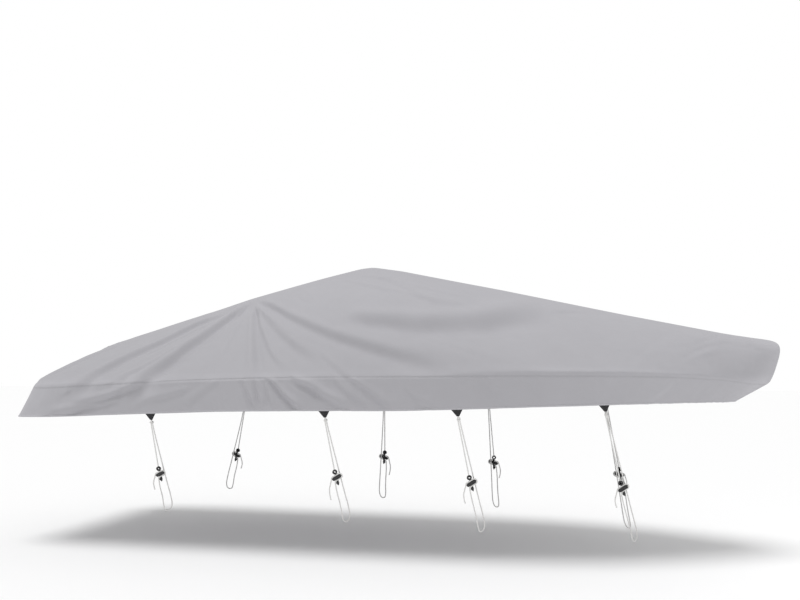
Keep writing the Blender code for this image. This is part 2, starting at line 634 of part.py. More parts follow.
def make_ties(parts, cutters):
    webbing = new_material("webbing", (0.02, 0.02, 0.022), 0.8)
    rope = new_material("rope", (0.85, 0.85, 0.83), 0.75)
    plastic = new_material("black_plastic", (0.015, 0.015, 0.016), 0.4)
    tightener = tightener_mesh(cutters)
    knot = knot_mesh()
    for side_name, side in SIDES:
        for row in TIES:
            tie = tie_values(row)
            frame = tie_frame(tie, side)
            end = f"{side_name}_{tie['name']}"
            make_tab("tab_" + end, tie, frame, side, webbing, parts)
            placed("knot_" + end, knot, frame, frame["knot"], rope, parts)
            placed("tightener_" + end, tightener, frame, frame["eye"], plastic, parts)
            make_rope("rope_short_" + end, on_route(frame, EYE_STRAND), rope, parts)
            make_rope("rope_long_" + end, smooth_route(long_route(frame, tie["free_end"])), rope, parts)


def main():
    clear_scene()
    parts = new_collection("boat_cover")
    cutters = new_collection("boat_cover_cutters", hidden=True)
    make_roof(parts)
    make_skirt(parts)
    make_ties(parts, cutters)
    bpy.context.view_layer.update()


main()
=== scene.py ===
# %% [markdown]
# # A fitted boat cover
# This lesson dresses the plain solids of a boat cover: a long tent of coated grey cloth that stands on
# a pole and a windshield, a skirt sewn on under it, and eight white ropes that pull the skirt down.
# Every cell first says what the real thing is and how it could be made, then makes it.

# %% Load the frame
import json

import bmesh
import bpy
import numpy as np
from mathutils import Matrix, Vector

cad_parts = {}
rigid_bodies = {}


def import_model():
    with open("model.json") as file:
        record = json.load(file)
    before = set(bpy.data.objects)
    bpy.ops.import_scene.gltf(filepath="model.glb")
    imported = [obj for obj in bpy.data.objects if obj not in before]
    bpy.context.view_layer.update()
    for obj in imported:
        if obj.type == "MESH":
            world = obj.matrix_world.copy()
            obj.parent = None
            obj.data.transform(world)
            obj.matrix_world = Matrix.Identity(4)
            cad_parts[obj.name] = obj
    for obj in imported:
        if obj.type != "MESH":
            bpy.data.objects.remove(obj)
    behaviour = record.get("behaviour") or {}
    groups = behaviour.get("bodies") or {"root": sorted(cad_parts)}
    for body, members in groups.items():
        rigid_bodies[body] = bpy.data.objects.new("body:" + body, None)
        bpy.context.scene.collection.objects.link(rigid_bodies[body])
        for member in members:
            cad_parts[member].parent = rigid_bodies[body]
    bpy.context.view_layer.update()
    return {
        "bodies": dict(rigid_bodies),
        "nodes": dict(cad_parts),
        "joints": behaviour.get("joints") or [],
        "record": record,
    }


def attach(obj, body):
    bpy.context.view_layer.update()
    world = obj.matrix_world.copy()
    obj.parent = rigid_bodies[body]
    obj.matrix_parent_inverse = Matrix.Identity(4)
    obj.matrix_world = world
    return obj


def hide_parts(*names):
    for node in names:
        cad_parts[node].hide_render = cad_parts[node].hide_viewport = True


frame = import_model()

# %% [markdown]
# ## Camera and light
# The cover is seen from its starboard side, turned a little towards the stern, from about chest
# height. A level camera keeps the tie ropes upright, so the lens is shifted up instead of the camera
# being tipped. Coated cloth outdoors under a bright overcast sky has very soft shading: a pale world
# gives most of the light, one wide lamp above gives the folds their shape, and a soft box by the bow
# keeps the nose from going dull. Small hard lamps would give the folds edges that such cloth doesn't have.

# %% Camera, floor and light
CAMERA_PLACE = (2.453, -9.295, -1.049)
CAMERA_TURN = 13.0  # degrees
LENS, SENSOR_WIDTH = 40.5, 36.0  # millimetres
LENS_SHIFT = 0.08125  # up, as a share of the picture's width
FAR_CLIP = 400.0
FLOOR_HEIGHT = -2.90
FLOOR_SIZE = 120.0
SKY_LIGHT = 0.56  # the light that the sky sheds on the cover
BACKDROP_WHITE = 1.0  # how bright it looks to the camera

scene = bpy.context.scene
camera_data = bpy.data.cameras.new("camera")
camera_data.lens, camera_data.sensor_width = LENS, SENSOR_WIDTH
camera_data.shift_y = LENS_SHIFT
camera_data.clip_end = FAR_CLIP
camera = bpy.data.objects.new("camera", camera_data)
camera.location = CAMERA_PLACE
camera.rotation_euler = (np.radians(90), 0, np.radians(CAMERA_TURN))
scene.collection.objects.link(camera)
scene.camera = camera


def sun(name, strength, softness, towards):
    """A far lamp: its strength, its softness in degrees, and the direction in which its light travels."""
    data = bpy.data.lights.new(name, "SUN")
    data.energy = strength
    data.angle = np.radians(softness)
    lamp = bpy.data.objects.new(name, data)
    direction = np.array(towards, float)
    flat_run = np.hypot(direction[0], direction[1])
    lamp.rotation_euler = (np.arctan2(flat_run, -direction[2]), 0, np.arctan2(-direction[0], direction[1]))
    scene.collection.objects.link(lamp)


def soft_box(name, watts, size, place, aim):
    """A square lamp of this size in metres at a place, turned to face 'aim'. A camera doesn't see it."""
    data = bpy.data.lights.new(name, "AREA")
    data.energy, data.size = watts, size
    lamp = bpy.data.objects.new(name, data)
    lamp.location = place
    lamp.rotation_euler = (Vector(aim) - Vector(place)).to_track_quat("-Z", "Y").to_euler()
    lamp.visible_camera = False
    scene.collection.objects.link(lamp)


sun("sky_lamp", strength=1.7, softness=30, towards=(0.10, 0.20, -0.97))
soft_box("bow_box", watts=12, size=1.6, place=(6.1, -0.7, -0.5), aim=(3.9, -0.2, -1.0))

world = bpy.data.worlds.new("studio")
world.use_nodes = True
backdrop = world.node_tree.nodes["Background"]
seen = world.node_tree.nodes.new("ShaderNodeLightPath").outputs["Is Camera Ray"]
strength = world.node_tree.nodes.new("ShaderNodeMapRange")
strength.inputs["To Min"].default_value = SKY_LIGHT
strength.inputs["To Max"].default_value = BACKDROP_WHITE
world.node_tree.links.new(seen, strength.inputs["Value"])
world.node_tree.links.new(strength.outputs["Result"], backdrop.inputs["Strength"])
backdrop.inputs["Color"].default_value = (1, 1, 1, 1)
scene.world = world
scene.view_settings.view_transform = "Standard"
print("camera at", CAMERA_PLACE)

# %% [markdown]
# ## Meshes from arrays
# Every new piece here is a grid of points worked out with numpy: a function of two parameters, or a
# round profile carried along a path. One helper turns such arrays into a mesh, with a map in metres
# for the weave, so that a thread is as wide on a rope as on the roof.


# %% Mesh helpers
def grid_faces(rows, columns, round_columns=False, round_rows=False):
    """Corner numbers of a grid's faces. The last column can be joined to the first, and the last row."""
    row_starts = np.arange(rows if round_rows else rows - 1)
    column_starts = np.arange(columns if round_columns else columns - 1)
    row, column = np.meshgrid(row_starts, column_starts, indexing="ij")
    here, below = row * columns, (row + 1) % rows * columns
    after = (column + 1) % columns
    return np.stack([here + column, here + after, below + after, below + column], -1).reshape(-1, 4)


def mesh_object(name, points, faces, maps=None, map_faces=None):
    """A smooth mesh object from points (n, 3) and faces (m, 3 or 4). Maps holds (k, 2) values by name,
    which the faces' corners read by map_faces, or by the faces themselves."""
    faces = np.asarray(faces)
    map_faces = faces if map_faces is None else map_faces
    size = faces.shape[1]
    data = bpy.data.meshes.new(name)
    data.vertices.add(len(points))
    data.vertices.foreach_set("co", np.asarray(points, np.float32).ravel())
    data.loops.add(faces.size)
    data.loops.foreach_set("vertex_index", faces.ravel().astype(np.int32))
    data.polygons.add(len(faces))
    data.polygons.foreach_set("loop_start", np.arange(len(faces), dtype=np.int32) * size)
    data.update(calc_edges=True)
    for map_name, values in (maps or {}).items():
        layer = data.uv_layers.new(name=map_name)
        layer.data.foreach_set("uv", np.asarray(values, np.float32)[map_faces.ravel()].ravel())
    data.shade_smooth()
    data.validate()
    obj = bpy.data.objects.new(name, data)
    scene.collection.objects.link(obj)
    return obj


def dress(obj, material, slot, *nodes):
    """Gives a piece its material, lets it ride on the cover and stand for the named solids. The slot is not
    used.
    """
    obj.data.materials.clear()
    obj.data.materials.append(material)
    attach(obj, "root")
    if nodes:
        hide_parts(*nodes)
    return obj


floor = mesh_object(
    "floor",
    np.array([[-1, -1, 0], [1, -1, 0], [1, 1, 0], [-1, 1, 0]]) * FLOOR_SIZE / 2 + (0, 0, FLOOR_HEIGHT),
    [[0, 1, 2, 3]],
)
print("floor at", FLOOR_HEIGHT)

# %% [markdown]
# ## The form of the cloth
# The cloth is one surface with two coordinates. A *rib* is a line down the cloth in the direction in
# which it is pulled, numbered round the boat from the middle of the transom to the nose. *Down* runs
# along a rib: 0 on the ridge, 1 at the edge over the gunwale, 2 at the hem. A table gives each rib's
# two ends and how its middle sags; a smooth curve through the table gives every rib between. Sculpting
# would also do, but a table keeps the drape the same each run, and the solids have the same one.

# %% Ridge and ribs
APEX_HEIGHT = 1.579
RIDGE = (
    (-3.42, 0.625), (-2.98, 0.792), (-2.23, 1.012), (-1.75, 1.150), (-1.37, 1.270), (-1.04, 1.351),
    (-0.58, 1.466), (-0.13, 1.570), (0.00, 1.582), (0.31, 1.536), (1.37, 1.315), (2.57, 1.046),
    (3.71, 0.806), (3.94, 0.778),
)
RIB_COLUMNS = (
    "ridge_x", "edge_x", "edge_y", "edge_height", "shoulder_out", "shoulder_up", "shoulder_pull",
    "seam_drop", "hem_x", "hem_y", "hem_height",
)
RIBS = (
    (-3.05, -3.206, 0.00, 0.702, 0.50, 0.50, 1.0, 0.412, -3.50, 0.00, 0.000),  # middle of the transom
    (-2.98, -3.269, 0.50, 0.554, 0.50, 0.52, 1.0, 0.264, -3.50, 0.56, -0.002),
    (-2.85, -3.34, 1.00, 0.380, 0.52, 0.54, 1.0, 0.090, -3.50, 1.09, -0.004),  # its corner
    (-2.60, -3.13, 1.16, 0.378, 0.52, 0.54, 1.0, 0.088, -3.23, 1.20, 0.000),
    (-2.25, -2.82, 1.21, 0.384, 0.50, 0.52, 1.0, 0.078, -2.86, 1.21, 0.010),
    (-1.90, -2.45, 1.22, 0.392, 0.50, 0.50, 1.0, 0.064, -2.47, 1.20, 0.028),
    (-1.65, -2.05, 1.22, 0.400, 0.50, 0.47, 1.0, 0.048, -2.05, 1.20, 0.045),
    (-1.50, -1.65, 1.22, 0.408, 0.50, 0.46, 1.0, 0.034, -1.65, 1.20, 0.060),
    (-1.41, -1.28, 1.22, 0.414, 0.50, 0.47, 1.0, 0.026, -1.28, 1.19, 0.074),  # support pole
    (-1.34, -0.90, 1.22, 0.422, 0.50, 0.50, 1.0, 0.022, -0.90, 1.19, 0.083),
    (-1.26, -0.50, 1.22, 0.430, 0.52, 0.57, 1.0, 0.022, -0.50, 1.19, 0.090),
    (-1.10, -0.05, 1.22, 0.436, 0.56, 0.66, 1.0, 0.022, -0.05, 1.18, 0.096),
    (-0.82, 0.42, 1.22, 0.440, 0.60, 0.72, 1.0, 0.022, 0.42, 1.17, 0.100),
    (-0.42, 0.90, 1.21, 0.450, 0.58, 0.68, 1.0, 0.032, 0.90, 1.14, 0.112),
    (0.00, 1.38, 1.18, 0.482, 0.52, 0.58, 1.0, 0.060, 1.38, 1.09, 0.128),  # windshield
    (0.75, 1.88, 1.12, 0.484, 0.50, 0.50, 1.0, 0.062, 1.87, 1.00, 0.146),
    (1.55, 2.42, 1.00, 0.474, 0.54, 0.52, 1.0, 0.060, 2.40, 0.83, 0.158),
    (2.35, 2.93, 0.81, 0.456, 0.66, 0.62, 1.1, 0.053, 2.84, 0.62, 0.168),
    (3.02, 3.40, 0.57, 0.421, 0.84, 0.76, 1.4, 0.046, 3.22, 0.38, 0.171),
    (3.50, 3.77, 0.33, 0.378, 1.05, 0.86, 2.0, 0.050, 3.50, 0.17, 0.171),
    (3.84, 3.99, 0.00, 0.362, 1.92, 0.93, 2.6, 0.050, 3.66, 0.00, 0.170),  # nose
)
LAST_RIB = len(RIBS) - 1.0
TRANSOM_CORNER = 2.0
STARBOARD, PORT = -1, 1
HEM = 2.0
RIB_PITCH, ROOF_RUN, SKIRT_RUN = 0.42, 1.40, 0.35  # metres that a rib, a roof and a skirt stand for
TINY, SAME_PLACE = 1e-6, 1e-5
RIDGE_ROUNDING = (-0.04, -0.02, 0, 0.02, 0.04)  # the ridge is the mean of its heights at these shifts


def smooth(values, at):
    """A Catmull-Rom curve through evenly numbered values: a cubic whose slope at each value is half
    the step between the two beside it."""
    values = np.asarray(values, float)
    padded = np.concatenate(([2 * values[0] - values[1]], values, [2 * values[-1] - values[-2]]))
    start = np.clip(np.floor(at).astype(int), 0, len(values) - 2)
    t = at - start
    a, b, c, d = (padded[start + k] for k in range(4))
    slope_b, slope_c = (c - a) / 2, (d - b) / 2
    return (
        b
        + slope_b * t
        + (3 * (c - b) - 2 * slope_b - slope_c) * t**2
        + (2 * (b - c) + slope_b + slope_c) * t**3
    )


def rib_value(name, rib):
    column = RIB_COLUMNS.index(name)
    return smooth([row[column] for row in RIBS], rib)


def rib_place(end, rib):
    x, y, height = (rib_value(f"{end}_{axis}", rib) for axis in ("x", "y", "height"))
    return np.stack([x, -y, height], -1)


def ridge_height(x):
    """Straight runs between supports, with their corners rounded over 80 mm."""
    xs, heights = np.array(RIDGE).T
    return sum(np.interp(x + shift, xs, heights) for shift in RIDGE_ROUNDING) / len(RIDGE_ROUNDING)


def run_down(down):
    """Rough metres of cloth from the ridge, from 'down'; down_at goes the other way."""
    return np.minimum(down, 1) * ROOF_RUN + np.maximum(down - 1, 0) * SKIRT_RUN


def down_at(metres):
    return np.minimum(metres / ROOF_RUN, 1) + np.maximum(metres - ROOF_RUN, 0) / SKIRT_RUN


def sharp_curve(rib, down):
    """The form with a sharp gunwale. From ridge to edge: a rational parabola drawn towards the rib's
    shoulder; from edge to hem: a straight line."""
    ridge_x = rib_value("ridge_x", rib)
    ridge = np.stack([ridge_x, np.zeros_like(ridge_x), ridge_height(ridge_x)], -1)
    edge, hem = rib_place("edge", rib), rib_place("hem", rib)
    shoulder = ridge + (edge - ridge) * rib_value("shoulder_out", rib)[:, None]
    shoulder[:, 2] = edge[:, 2] + (ridge[:, 2] - edge[:, 2]) * rib_value("shoulder_up", rib)
    v = np.clip(down, 0, 1)[:, None]
    pull = 2 * v * (1 - v) * rib_value("shoulder_pull", rib)[:, None]
    roof = ((1 - v) ** 2 * ridge + pull * shoulder + v**2 * edge) / ((1 - v) ** 2 + pull + v**2)
    points = roof + (hem - edge) * np.clip(down - 1, 0, None)[:, None]
    points[:, 2] -= APEX_HEIGHT
    return points


EDGE_SOFTNESS = ((0, 5, 9, 14, 16, 20), (0.055, 0.055, 0.022, 0.022, 0.012, 0.012))  # by rib, in metres


def curve_down(rib, down):
    """The plain form: the mean of the sharp form a little above, at and a little below each place, but
    never past the ridge or the hem. That rounds the gunwale and leaves the rest as it was."""
    metres = run_down(down)
    reach = np.minimum(np.interp(rib, *EDGE_SOFTNESS), np.minimum(metres, ROOF_RUN + SKIRT_RUN - metres))
    return sum(sharp_curve(rib, down_at(metres + share * reach)) for share in (-1, -0.5, 0, 0.5, 1)) / 5


STEP_ACROSS, STEP_DOWN = 0.02, 0.028  # in ribs, and in metres


def normals(rib, down):
    """Outward unit normals of the plain form, from small steps along and across the ribs. The step down
    is 28 mm on roof and skirt alike, so a normal turns over the gunwale as softly as the cloth does."""
    after, before = np.minimum(rib + STEP_ACROSS, LAST_RIB), np.maximum(rib - STEP_ACROSS, 0)
    across = curve_down(after, down) - curve_down(before, down)
    metres = run_down(down)
    below = down_at(np.minimum(metres + STEP_DOWN, ROOF_RUN + SKIRT_RUN))
    above = down_at(np.maximum(metres - STEP_DOWN, 0))
    along = curve_down(rib, below) - curve_down(rib, above)
    normal = np.cross(along, across)
    return normal / np.linalg.norm(normal, axis=1)[:, None]


def skirt_height(rib):
    """Metres of cloth from edge to hem on each rib."""
    return np.linalg.norm(rib_place("hem", rib) - rib_place("edge", rib), axis=1)


def seam_down(rib):
    return 1 + rib_value("seam_drop", rib) / skirt_height(rib)


heights = skirt_height(np.linspace(0, LAST_RIB, 41))
print("skirt height", np.round(heights.min(), 3), "to", np.round(heights.max(), 3))

# %% [markdown]
# ## Folds
# Pulled cloth folds along the lines of pull: from the pole down to the stern corner, from the pole
# forward to the gunwale, and a long hollow between the windshield and the bow rail. Each is a path over
# the cloth in (rib, down), with a width and a height in metres. A *fold* is a soft step: the cloth
# stands up on one side of the path and sinks on the other, so a slanted wall lies between. A *swell*
# is a plain bell. Cloth simulation would find folds too, but not these ones.

# %% Fold tables
# Each fold: half-width, height (above 0 if the left side stands up, going along the path and seen from
# outside), and its path. The port side is laid out as its mirror image.
STARBOARD_FOLDS = (
    # from the pole to the stern corner
    (0.070, -0.038, (8.6, 0.05), (7.84, 0.12), (6.88, 0.29), (6.50, 0.47), (6.30, 0.66), (6.2, 0.85),
     (5.95, 1.13), (5.55, 1.34)),
    (0.036, -0.014, (6.1, 0.60), (5.9, 0.71), (5.72, 0.84), (5.55, 0.96), (5.3, 1.08)),
    (0.052, -0.026, (6.5, 0.14), (5.5, 0.21), (5.17, 0.33), (4.96, 0.49), (4.70, 0.64), (4.55, 0.82),
     (4.45, 1.04), (4.1, 1.26)),
    (0.036, -0.019, (6.1, 1.10), (5.70, 1.28), (5.2, 1.48), (4.7, 1.60), (4.1, 1.70)),
    (0.034, -0.019, (5.5, 1.58), (4.95, 1.74), (4.50, 1.79), (4.05, 1.86), (3.5, 1.94)),
    (0.040, -0.010, (7.4, 1.34), (6.9, 1.48), (6.4, 1.62), (5.8, 1.84)),
    (0.045, -0.010, (3.1, 0.28), (2.8, 0.62), (2.55, 0.94)),
    (0.018, -0.006, (8.4, 0.08), (7.7, 0.20), (7.1, 0.38), (6.8, 0.56), (6.6, 0.72)),
    (0.016, -0.005, (6.7, 0.22), (5.9, 0.30), (5.55, 0.44), (5.35, 0.58), (5.1, 0.74)),
    # straight down from the pole
    (0.044, -0.019, (9.0, 0.18), (9.08, 0.40), (9.15, 0.70), (9.18, 0.99)),
    (0.032, -0.005, (8.5, 0.10), (8.2, 0.40), (8.0, 0.76)),
    # from the pole forward to the gunwale
    (0.056, 0.026, (9.5, 0.05), (10.3, 0.20), (10.85, 0.44), (11.3, 0.62), (11.74, 0.74), (12.24, 0.83),
     (12.8, 0.90), (13.2, 0.95)),
    (0.050, 0.016, (9.0, 0.10), (9.75, 0.31), (10.1, 0.50), (10.45, 0.72), (10.85, 0.90)),
    (0.026, 0.010, (10.9, 0.80), (11.05, 0.90), (11.2, 0.98), (11.35, 1.09)),
    (0.030, 0.010, (9.2, 0.16), (9.5, 0.48), (9.65, 0.72), (9.8, 0.87), (10.0, 0.98)),
    (0.015, 0.004, (9.3, 0.12), (9.95, 0.34), (10.4, 0.56), (10.9, 0.70), (11.5, 0.82)),
    (0.014, 0.004, (9.6, 0.70), (9.8, 0.84), (10.1, 0.95)),
    # the long hollow from the windshield to the bow rail
    (0.135, 0.053, (12.05, 0.51), (12.5, 0.57), (12.9, 0.60), (13.5, 0.635), (14.2, 0.61), (14.9, 0.52),
     (15.4, 0.42), (16.1, 0.28)),
    (0.028, 0.005, (13.0, 0.70), (13.6, 0.80), (14.3, 0.92)),
    (0.050, 0.009, (13.8, 0.12), (14.1, 0.24), (14.35, 0.36), (14.95, 0.35)),
    # over the bow rail
    (0.034, -0.010, (17.5, 0.86), (17.84, 0.74), (18.05, 0.67), (18.3, 0.60)),
    (0.034, -0.010, (17.8, 0.66), (18.16, 0.53), (18.45, 0.42), (18.8, 0.34)),
    (0.050, -0.006, (16.6, 0.92), (17.2, 0.66), (17.8, 0.36)),
    (0.040, 0.005, (19.1, 0.30), (19.0, 0.62), (18.8, 0.95)),
    # small creases beside the peak
    (0.024, 0.005, (12.9, 0.10), (13.3, 0.22), (13.75, 0.30), (14.4, 0.36)),
    (0.020, 0.004, (13.2, 0.05), (13.7, 0.13), (14.3, 0.20), (15.0, 0.24)),
    (0.026, -0.005, (12.6, 0.16), (12.2, 0.30), (11.9, 0.40)),
    # flutes of the skirt
    (0.024, 0.014, (8.82, 1.09), (8.94, 1.44), (9.06, 1.72), (9.14, 1.94)),
    (0.022, 0.014, (9.15, 1.09), (9.22, 1.45), (9.30, 1.86)),
    (0.018, 0.010, (9.42, 1.12), (9.47, 1.45), (9.56, 1.88)),
    (0.028, 0.022, (9.44, 1.07), (9.58, 1.16), (9.70, 1.31), (9.88, 1.56), (10.05, 1.74), (10.24, 1.95)),
    (0.042, 0.026, (10.06, 1.08), (10.22, 1.17), (10.53, 1.35), (10.8, 1.62), (11.2, 1.90)),
    (0.032, 0.012, (11.26, 1.09), (11.46, 1.22), (11.78, 1.53), (12.1, 1.90)),
    (0.030, 0.008, (10.98, 1.10), (11.2, 1.44), (11.50, 1.72), (11.7, 1.92)),
    (0.034, 0.007, (12.4, 1.40), (12.7, 1.74), (13.0, 1.90)),
    (0.044, 0.006, (13.9, 1.14), (14.2, 1.55), (14.4, 1.92)),
    (0.034, -0.007, (8.2, 1.14), (7.7, 1.46), (7.2, 1.86)),
    (0.040, -0.005, (17.3, 1.25), (17.2, 1.6), (17.0, 1.93)),
)
# The port side has the same kinds of folds, placed a little differently.
PORT_FOLDS = (
    (0.068, -0.032, (8.6, 0.05), (7.6, 0.16), (6.8, 0.35), (6.5, 0.58), (6.3, 0.82), (6.0, 1.12)),
    (0.050, -0.021, (6.7, 0.15), (5.5, 0.26), (5.1, 0.50), (4.8, 0.74), (4.4, 1.04)),
    (0.040, -0.013, (6.9, 0.95), (6.2, 1.22), (5.2, 1.62), (4.4, 1.90)),
    (0.036, -0.008, (8.8, 0.14), (8.9, 0.45), (9.0, 0.86)),
    (0.058, 0.026, (9.5, 0.06), (10.2, 0.24), (10.7, 0.50), (11.5, 0.75), (12.7, 0.94)),
    (0.046, 0.015, (9.1, 0.12), (9.7, 0.42), (10.0, 0.68), (10.4, 0.94)),
    (0.160, 0.044, (11.6, 0.44), (12.5, 0.56), (13.4, 0.63), (14.2, 0.62), (15.0, 0.55), (15.8, 0.45),
     (16.8, 0.32)),
    (0.030, 0.006, (12.6, 0.66), (13.3, 0.80), (14.1, 0.94)),
    (0.036, -0.008, (17.1, 0.80), (17.8, 0.60), (18.6, 0.42)),
    (0.044, -0.008, (3.3, 0.28), (3.1, 0.60), (2.9, 0.95)),
    (0.030, 0.014, (8.5, 1.08), (8.7, 1.30), (8.8, 1.60), (8.95, 1.94)),
    (0.040, 0.022, (9.3, 1.08), (9.6, 1.25), (9.9, 1.55), (10.15, 1.92)),
    (0.034, 0.015, (11.7, 1.05), (12.1, 1.25), (12.5, 1.55), (12.95, 1.92)),
    (0.036, 0.009, (14.4, 1.14), (14.8, 1.50), (15.1, 1.92)),
    (0.034, -0.008, (6.0, 1.14), (5.7, 1.5), (5.6, 1.93)),
)
# Each swell, on both sides: half-width, height and path; it fades at both ends.
SWELLS = (
    (0.130, 0.026, (11.7, 0.60), (12.3, 0.71), (12.9, 0.80), (13.8, 0.88), (15.0, 0.94)),
    (0.120, -0.006, (14.6, 0.72), (15.6, 0.66), (16.6, 0.60)),
    (0.150, 0.012, (6.9, 0.55), (7.2, 0.75), (7.3, 0.92)),
)
TAB_RIBS = (6.25, 10.76, 13.42, 16.05)
TAB_CALM = 0.13  # a tie pulls the hem flat this near to its tab


def bell(x, width):
    return np.exp(-((x / width) ** 2))


def in_metres(rib, down):
    """Rib and down laid out flat, in rough metres, where a fold's width is measured."""
    return np.stack([rib * RIB_PITCH, run_down(down)], -1)


def near_path(here, normal, path):
    """From each point: its distance to a path of straight pieces, 1 if it lies left of the path or -1
    if right, and how far along the path it is, 0 to 1."""
    lengths = np.linalg.norm(np.diff(path, axis=0), axis=1)
    starts = np.concatenate([[0], np.cumsum(lengths)])
    best = np.full(len(here), np.inf)
    share, side = np.zeros(len(here)), np.ones(len(here))
    for a, b, length, start in zip(path, path[1:], lengths, starts):
        t = np.clip((here - a) @ (b - a) / length**2, 0, 1)
        offset = here - a - t[:, None] * (b - a)
        distance = np.linalg.norm(offset, axis=1)
        closer = distance < best
        best = np.where(closer, distance, best)
        share = np.where(closer, (start + t * length) / starts[-1], share)
        side = np.where(closer, np.sign((np.cross(b - a, offset) * normal).sum(axis=1)), side)
    return best, side, share


PATH_STEPS = 8  # straight pieces between two corners of a path


def smooth_path(corners):
    """A fold's path in space: a Catmull-Rom curve through its corners, laid on the plain form."""
    at = np.linspace(0, len(corners) - 1, (len(corners) - 1) * PATH_STEPS + 1)
    rib, down = (smooth(values, at) for values in np.array(corners, float).T)
    return curve_down(rib, down)


FADE_IN, FADE_OUT, FADED = 0.15, 0.33, 1.02  # shares of a path; a fold is gone just past its end
START_SIZE, GROWTH = 0.6, 0.7  # a fold's size where its path starts, and how much it grows
DRAWN_IN = 0.9  # every half-width in the tables is narrowed to this share


def end_fade(share):
    """Eased from 0 to 1 over the first sixth of a path, and back to 0 over its last third."""
    fade = np.clip(share / FADE_IN, 0, 1) * np.clip((FADED - share) / FADE_OUT, 0, 1)
    return fade * (2 - fade)


def fold_relief(here, normal, folds):
    """Folds: height * s * exp((1 - s squared) / 2), where s is the distance over the half-width. Height
    and half-width grow alike along the path. Swells: height * exp(-s squared), times the square root of
    half a sine wave along the path."""
    lift = np.zeros(len(here))
    for width, height, *corners in folds:
        distance, side, share = near_path(here, normal, smooth_path(corners))
        size = START_SIZE + GROWTH * share
        s = distance / (DRAWN_IN * width * size)
        lift += height * size * side * s * np.exp((1 - s**2) / 2) * end_fade(share)
    for width, height, *corners in SWELLS:
        distance, side, share = near_path(here, normal, smooth_path(corners))
        lift += height * bell(distance, width) * np.sin(np.pi * share) ** 0.5
    return lift


def tab_calm(rib, down):
    """0 at a tab and 1 away from it."""
    here = in_metres(rib, down)
    calm = np.ones(len(rib))
    for tab in TAB_RIBS:
        at_tab = in_metres(np.array([tab]), np.array([HEM]))
        calm *= 1 - np.exp(-((np.linalg.norm(here - at_tab, axis=1) / TAB_CALM) ** 4))
    return calm


print(len(STARBOARD_FOLDS), "folds to starboard,", len(PORT_FOLDS), "to port")

# %% [markdown]
# ## Small unrest
# Between its folds, cloth that has been rained on and dried is never quite even. A sum of sine waves in
# random directions, a few millimetres high, gives that. A noise texture on a Displace modifier could do
# the same, but this way the tabs and the ridge can calm it.

# %% Unrest
SEED = 7
dice = np.random.default_rng(SEED)


def wave_table(count, shortest, longest):
    """Random directions, wavelengths and phases of sine waves over the flat cloth."""
    heading = dice.uniform(0, np.pi, count)
    pace = 2 * np.pi / np.exp(dice.uniform(np.log(shortest), np.log(longest), count))
    return np.cos(heading) * pace, np.sin(heading) * pace, dice.uniform(0, 2 * np.pi, count)


def waves(here, table):
    """The sum of sin(x a + y b + c) over the table's rows, divided by the root of their number."""
    a, b, c = table
    return np.sin(here[:, :1] * a + here[:, 1:] * b + c).sum(axis=1) / np.sqrt(len(a))


BROAD_WAVES = wave_table(16, 0.45, 1.3)
SMALL_WAVES = wave_table(22, 0.10, 0.34)
PUCKER_WAVES = wave_table(14, 0.035, 0.11)
BROAD_UNREST, SMALL_UNREST = 0.0034, 0.0011  # metres
PUCKER_STRETCH = 0.2  # so a pucker is five times as long across the sewn line as along it
PORT_UNREST, PORT_PUCKERS = 40, 60  # port reads the waves this many metres off, so that the sides differ


def unrest(rib, down, side):
    here = in_metres(rib, down) + (0 if side == STARBOARD else PORT_UNREST)
    return BROAD_UNREST * waves(here, BROAD_WAVES) + SMALL_UNREST * waves(here, SMALL_WAVES)


def puckers(rib, away, side, reach):
    """Small gathers across a sewn line: waves along it that fade within 'reach' metres of it."""
    here = np.stack([rib * RIB_PITCH, away * PUCKER_STRETCH], -1) + (0 if side == STARBOARD else PORT_PUCKERS)
    return waves(here, PUCKER_WAVES) * bell(away, reach)


print(len(BROAD_WAVES[0]) + len(SMALL_WAVES[0]) + len(PUCKER_WAVES[0]), "sine waves")

# %% [markdown]
# ## Roof panel and skirt
# The roof panel's lower edge laps over the skirt's upper edge and is sewn to it, which draws the line
# in. The hem is folded up and sewn, so it is a thicker roll. Both are shaped by the distance from the
# sewn line: the roof dips towards it, and the skirt swells out just below it and again at the hem.

# %% Sewn lines
CLOTH = 0.003
SEAM_GAP = 0.0005  # between the two layers at the seam
SEAM_ROWS = (-0.015, -0.008, -0.003, -0.0015, 0.0005, 0.003, 0.006, 0.010, 0.014, 0.019, 0.025, 0.031, 0.038)
SEAM_PULL = (  # by rib: how hard the thread draws in
    (0, 4.5, 6, 7.5, 9.5, 11, 14, 15.5, 20),
    (0.0, 0.05, 0.5, 0.9, 0.8, 0.45, 0.4, 0.05, 0.0),
)
SKIRT_INSET = CLOTH + SEAM_GAP
RIDGE_ROUND = 0.016
EDGE_ROUND, EDGE_REACH = 0.007, 0.035
SEAM_DIP, DIP_REACH = 0.0030, 0.009
SWELL_BELOW = 0.020  # the skirt swells out most this far below the seam
SKIRT_SWELL, SWELL_REACH = 0.0030, 0.014
SEAM_PUCKER, SEAM_REACH = 0.0015, 0.045
HEM_PUCKER, HEM_REACH = 0.0010, 0.035
HEM_SHIFT = 50  # ribs that the hem's puckers are read off, so that they differ from the seam's
HEM_WIDTH = 0.022
HEM_SWELL = 0.0028
MIDDLE_FADE, RIDGE_FADE, RIDGE_POWER = 0.5, 0.12, 0.6  # in ribs and in 'down': the sides meet without relief
LAP_TUCK, LAP_START, LAP_REACH = 0.88, 0.0015, 0.002  # how far the skirt gives up its inset below the lap
LEAST_UP, STEEPEST, CREASE_FADE = 0.2, 1.5, 0.2  # limits of the slope at the ridge


def metres_from_edge(rib, down):
    """Metres below the gunwale, or minus the metres above it."""
    return (down - 1) * np.where(down > 1, skirt_height(rib), ROOF_RUN)


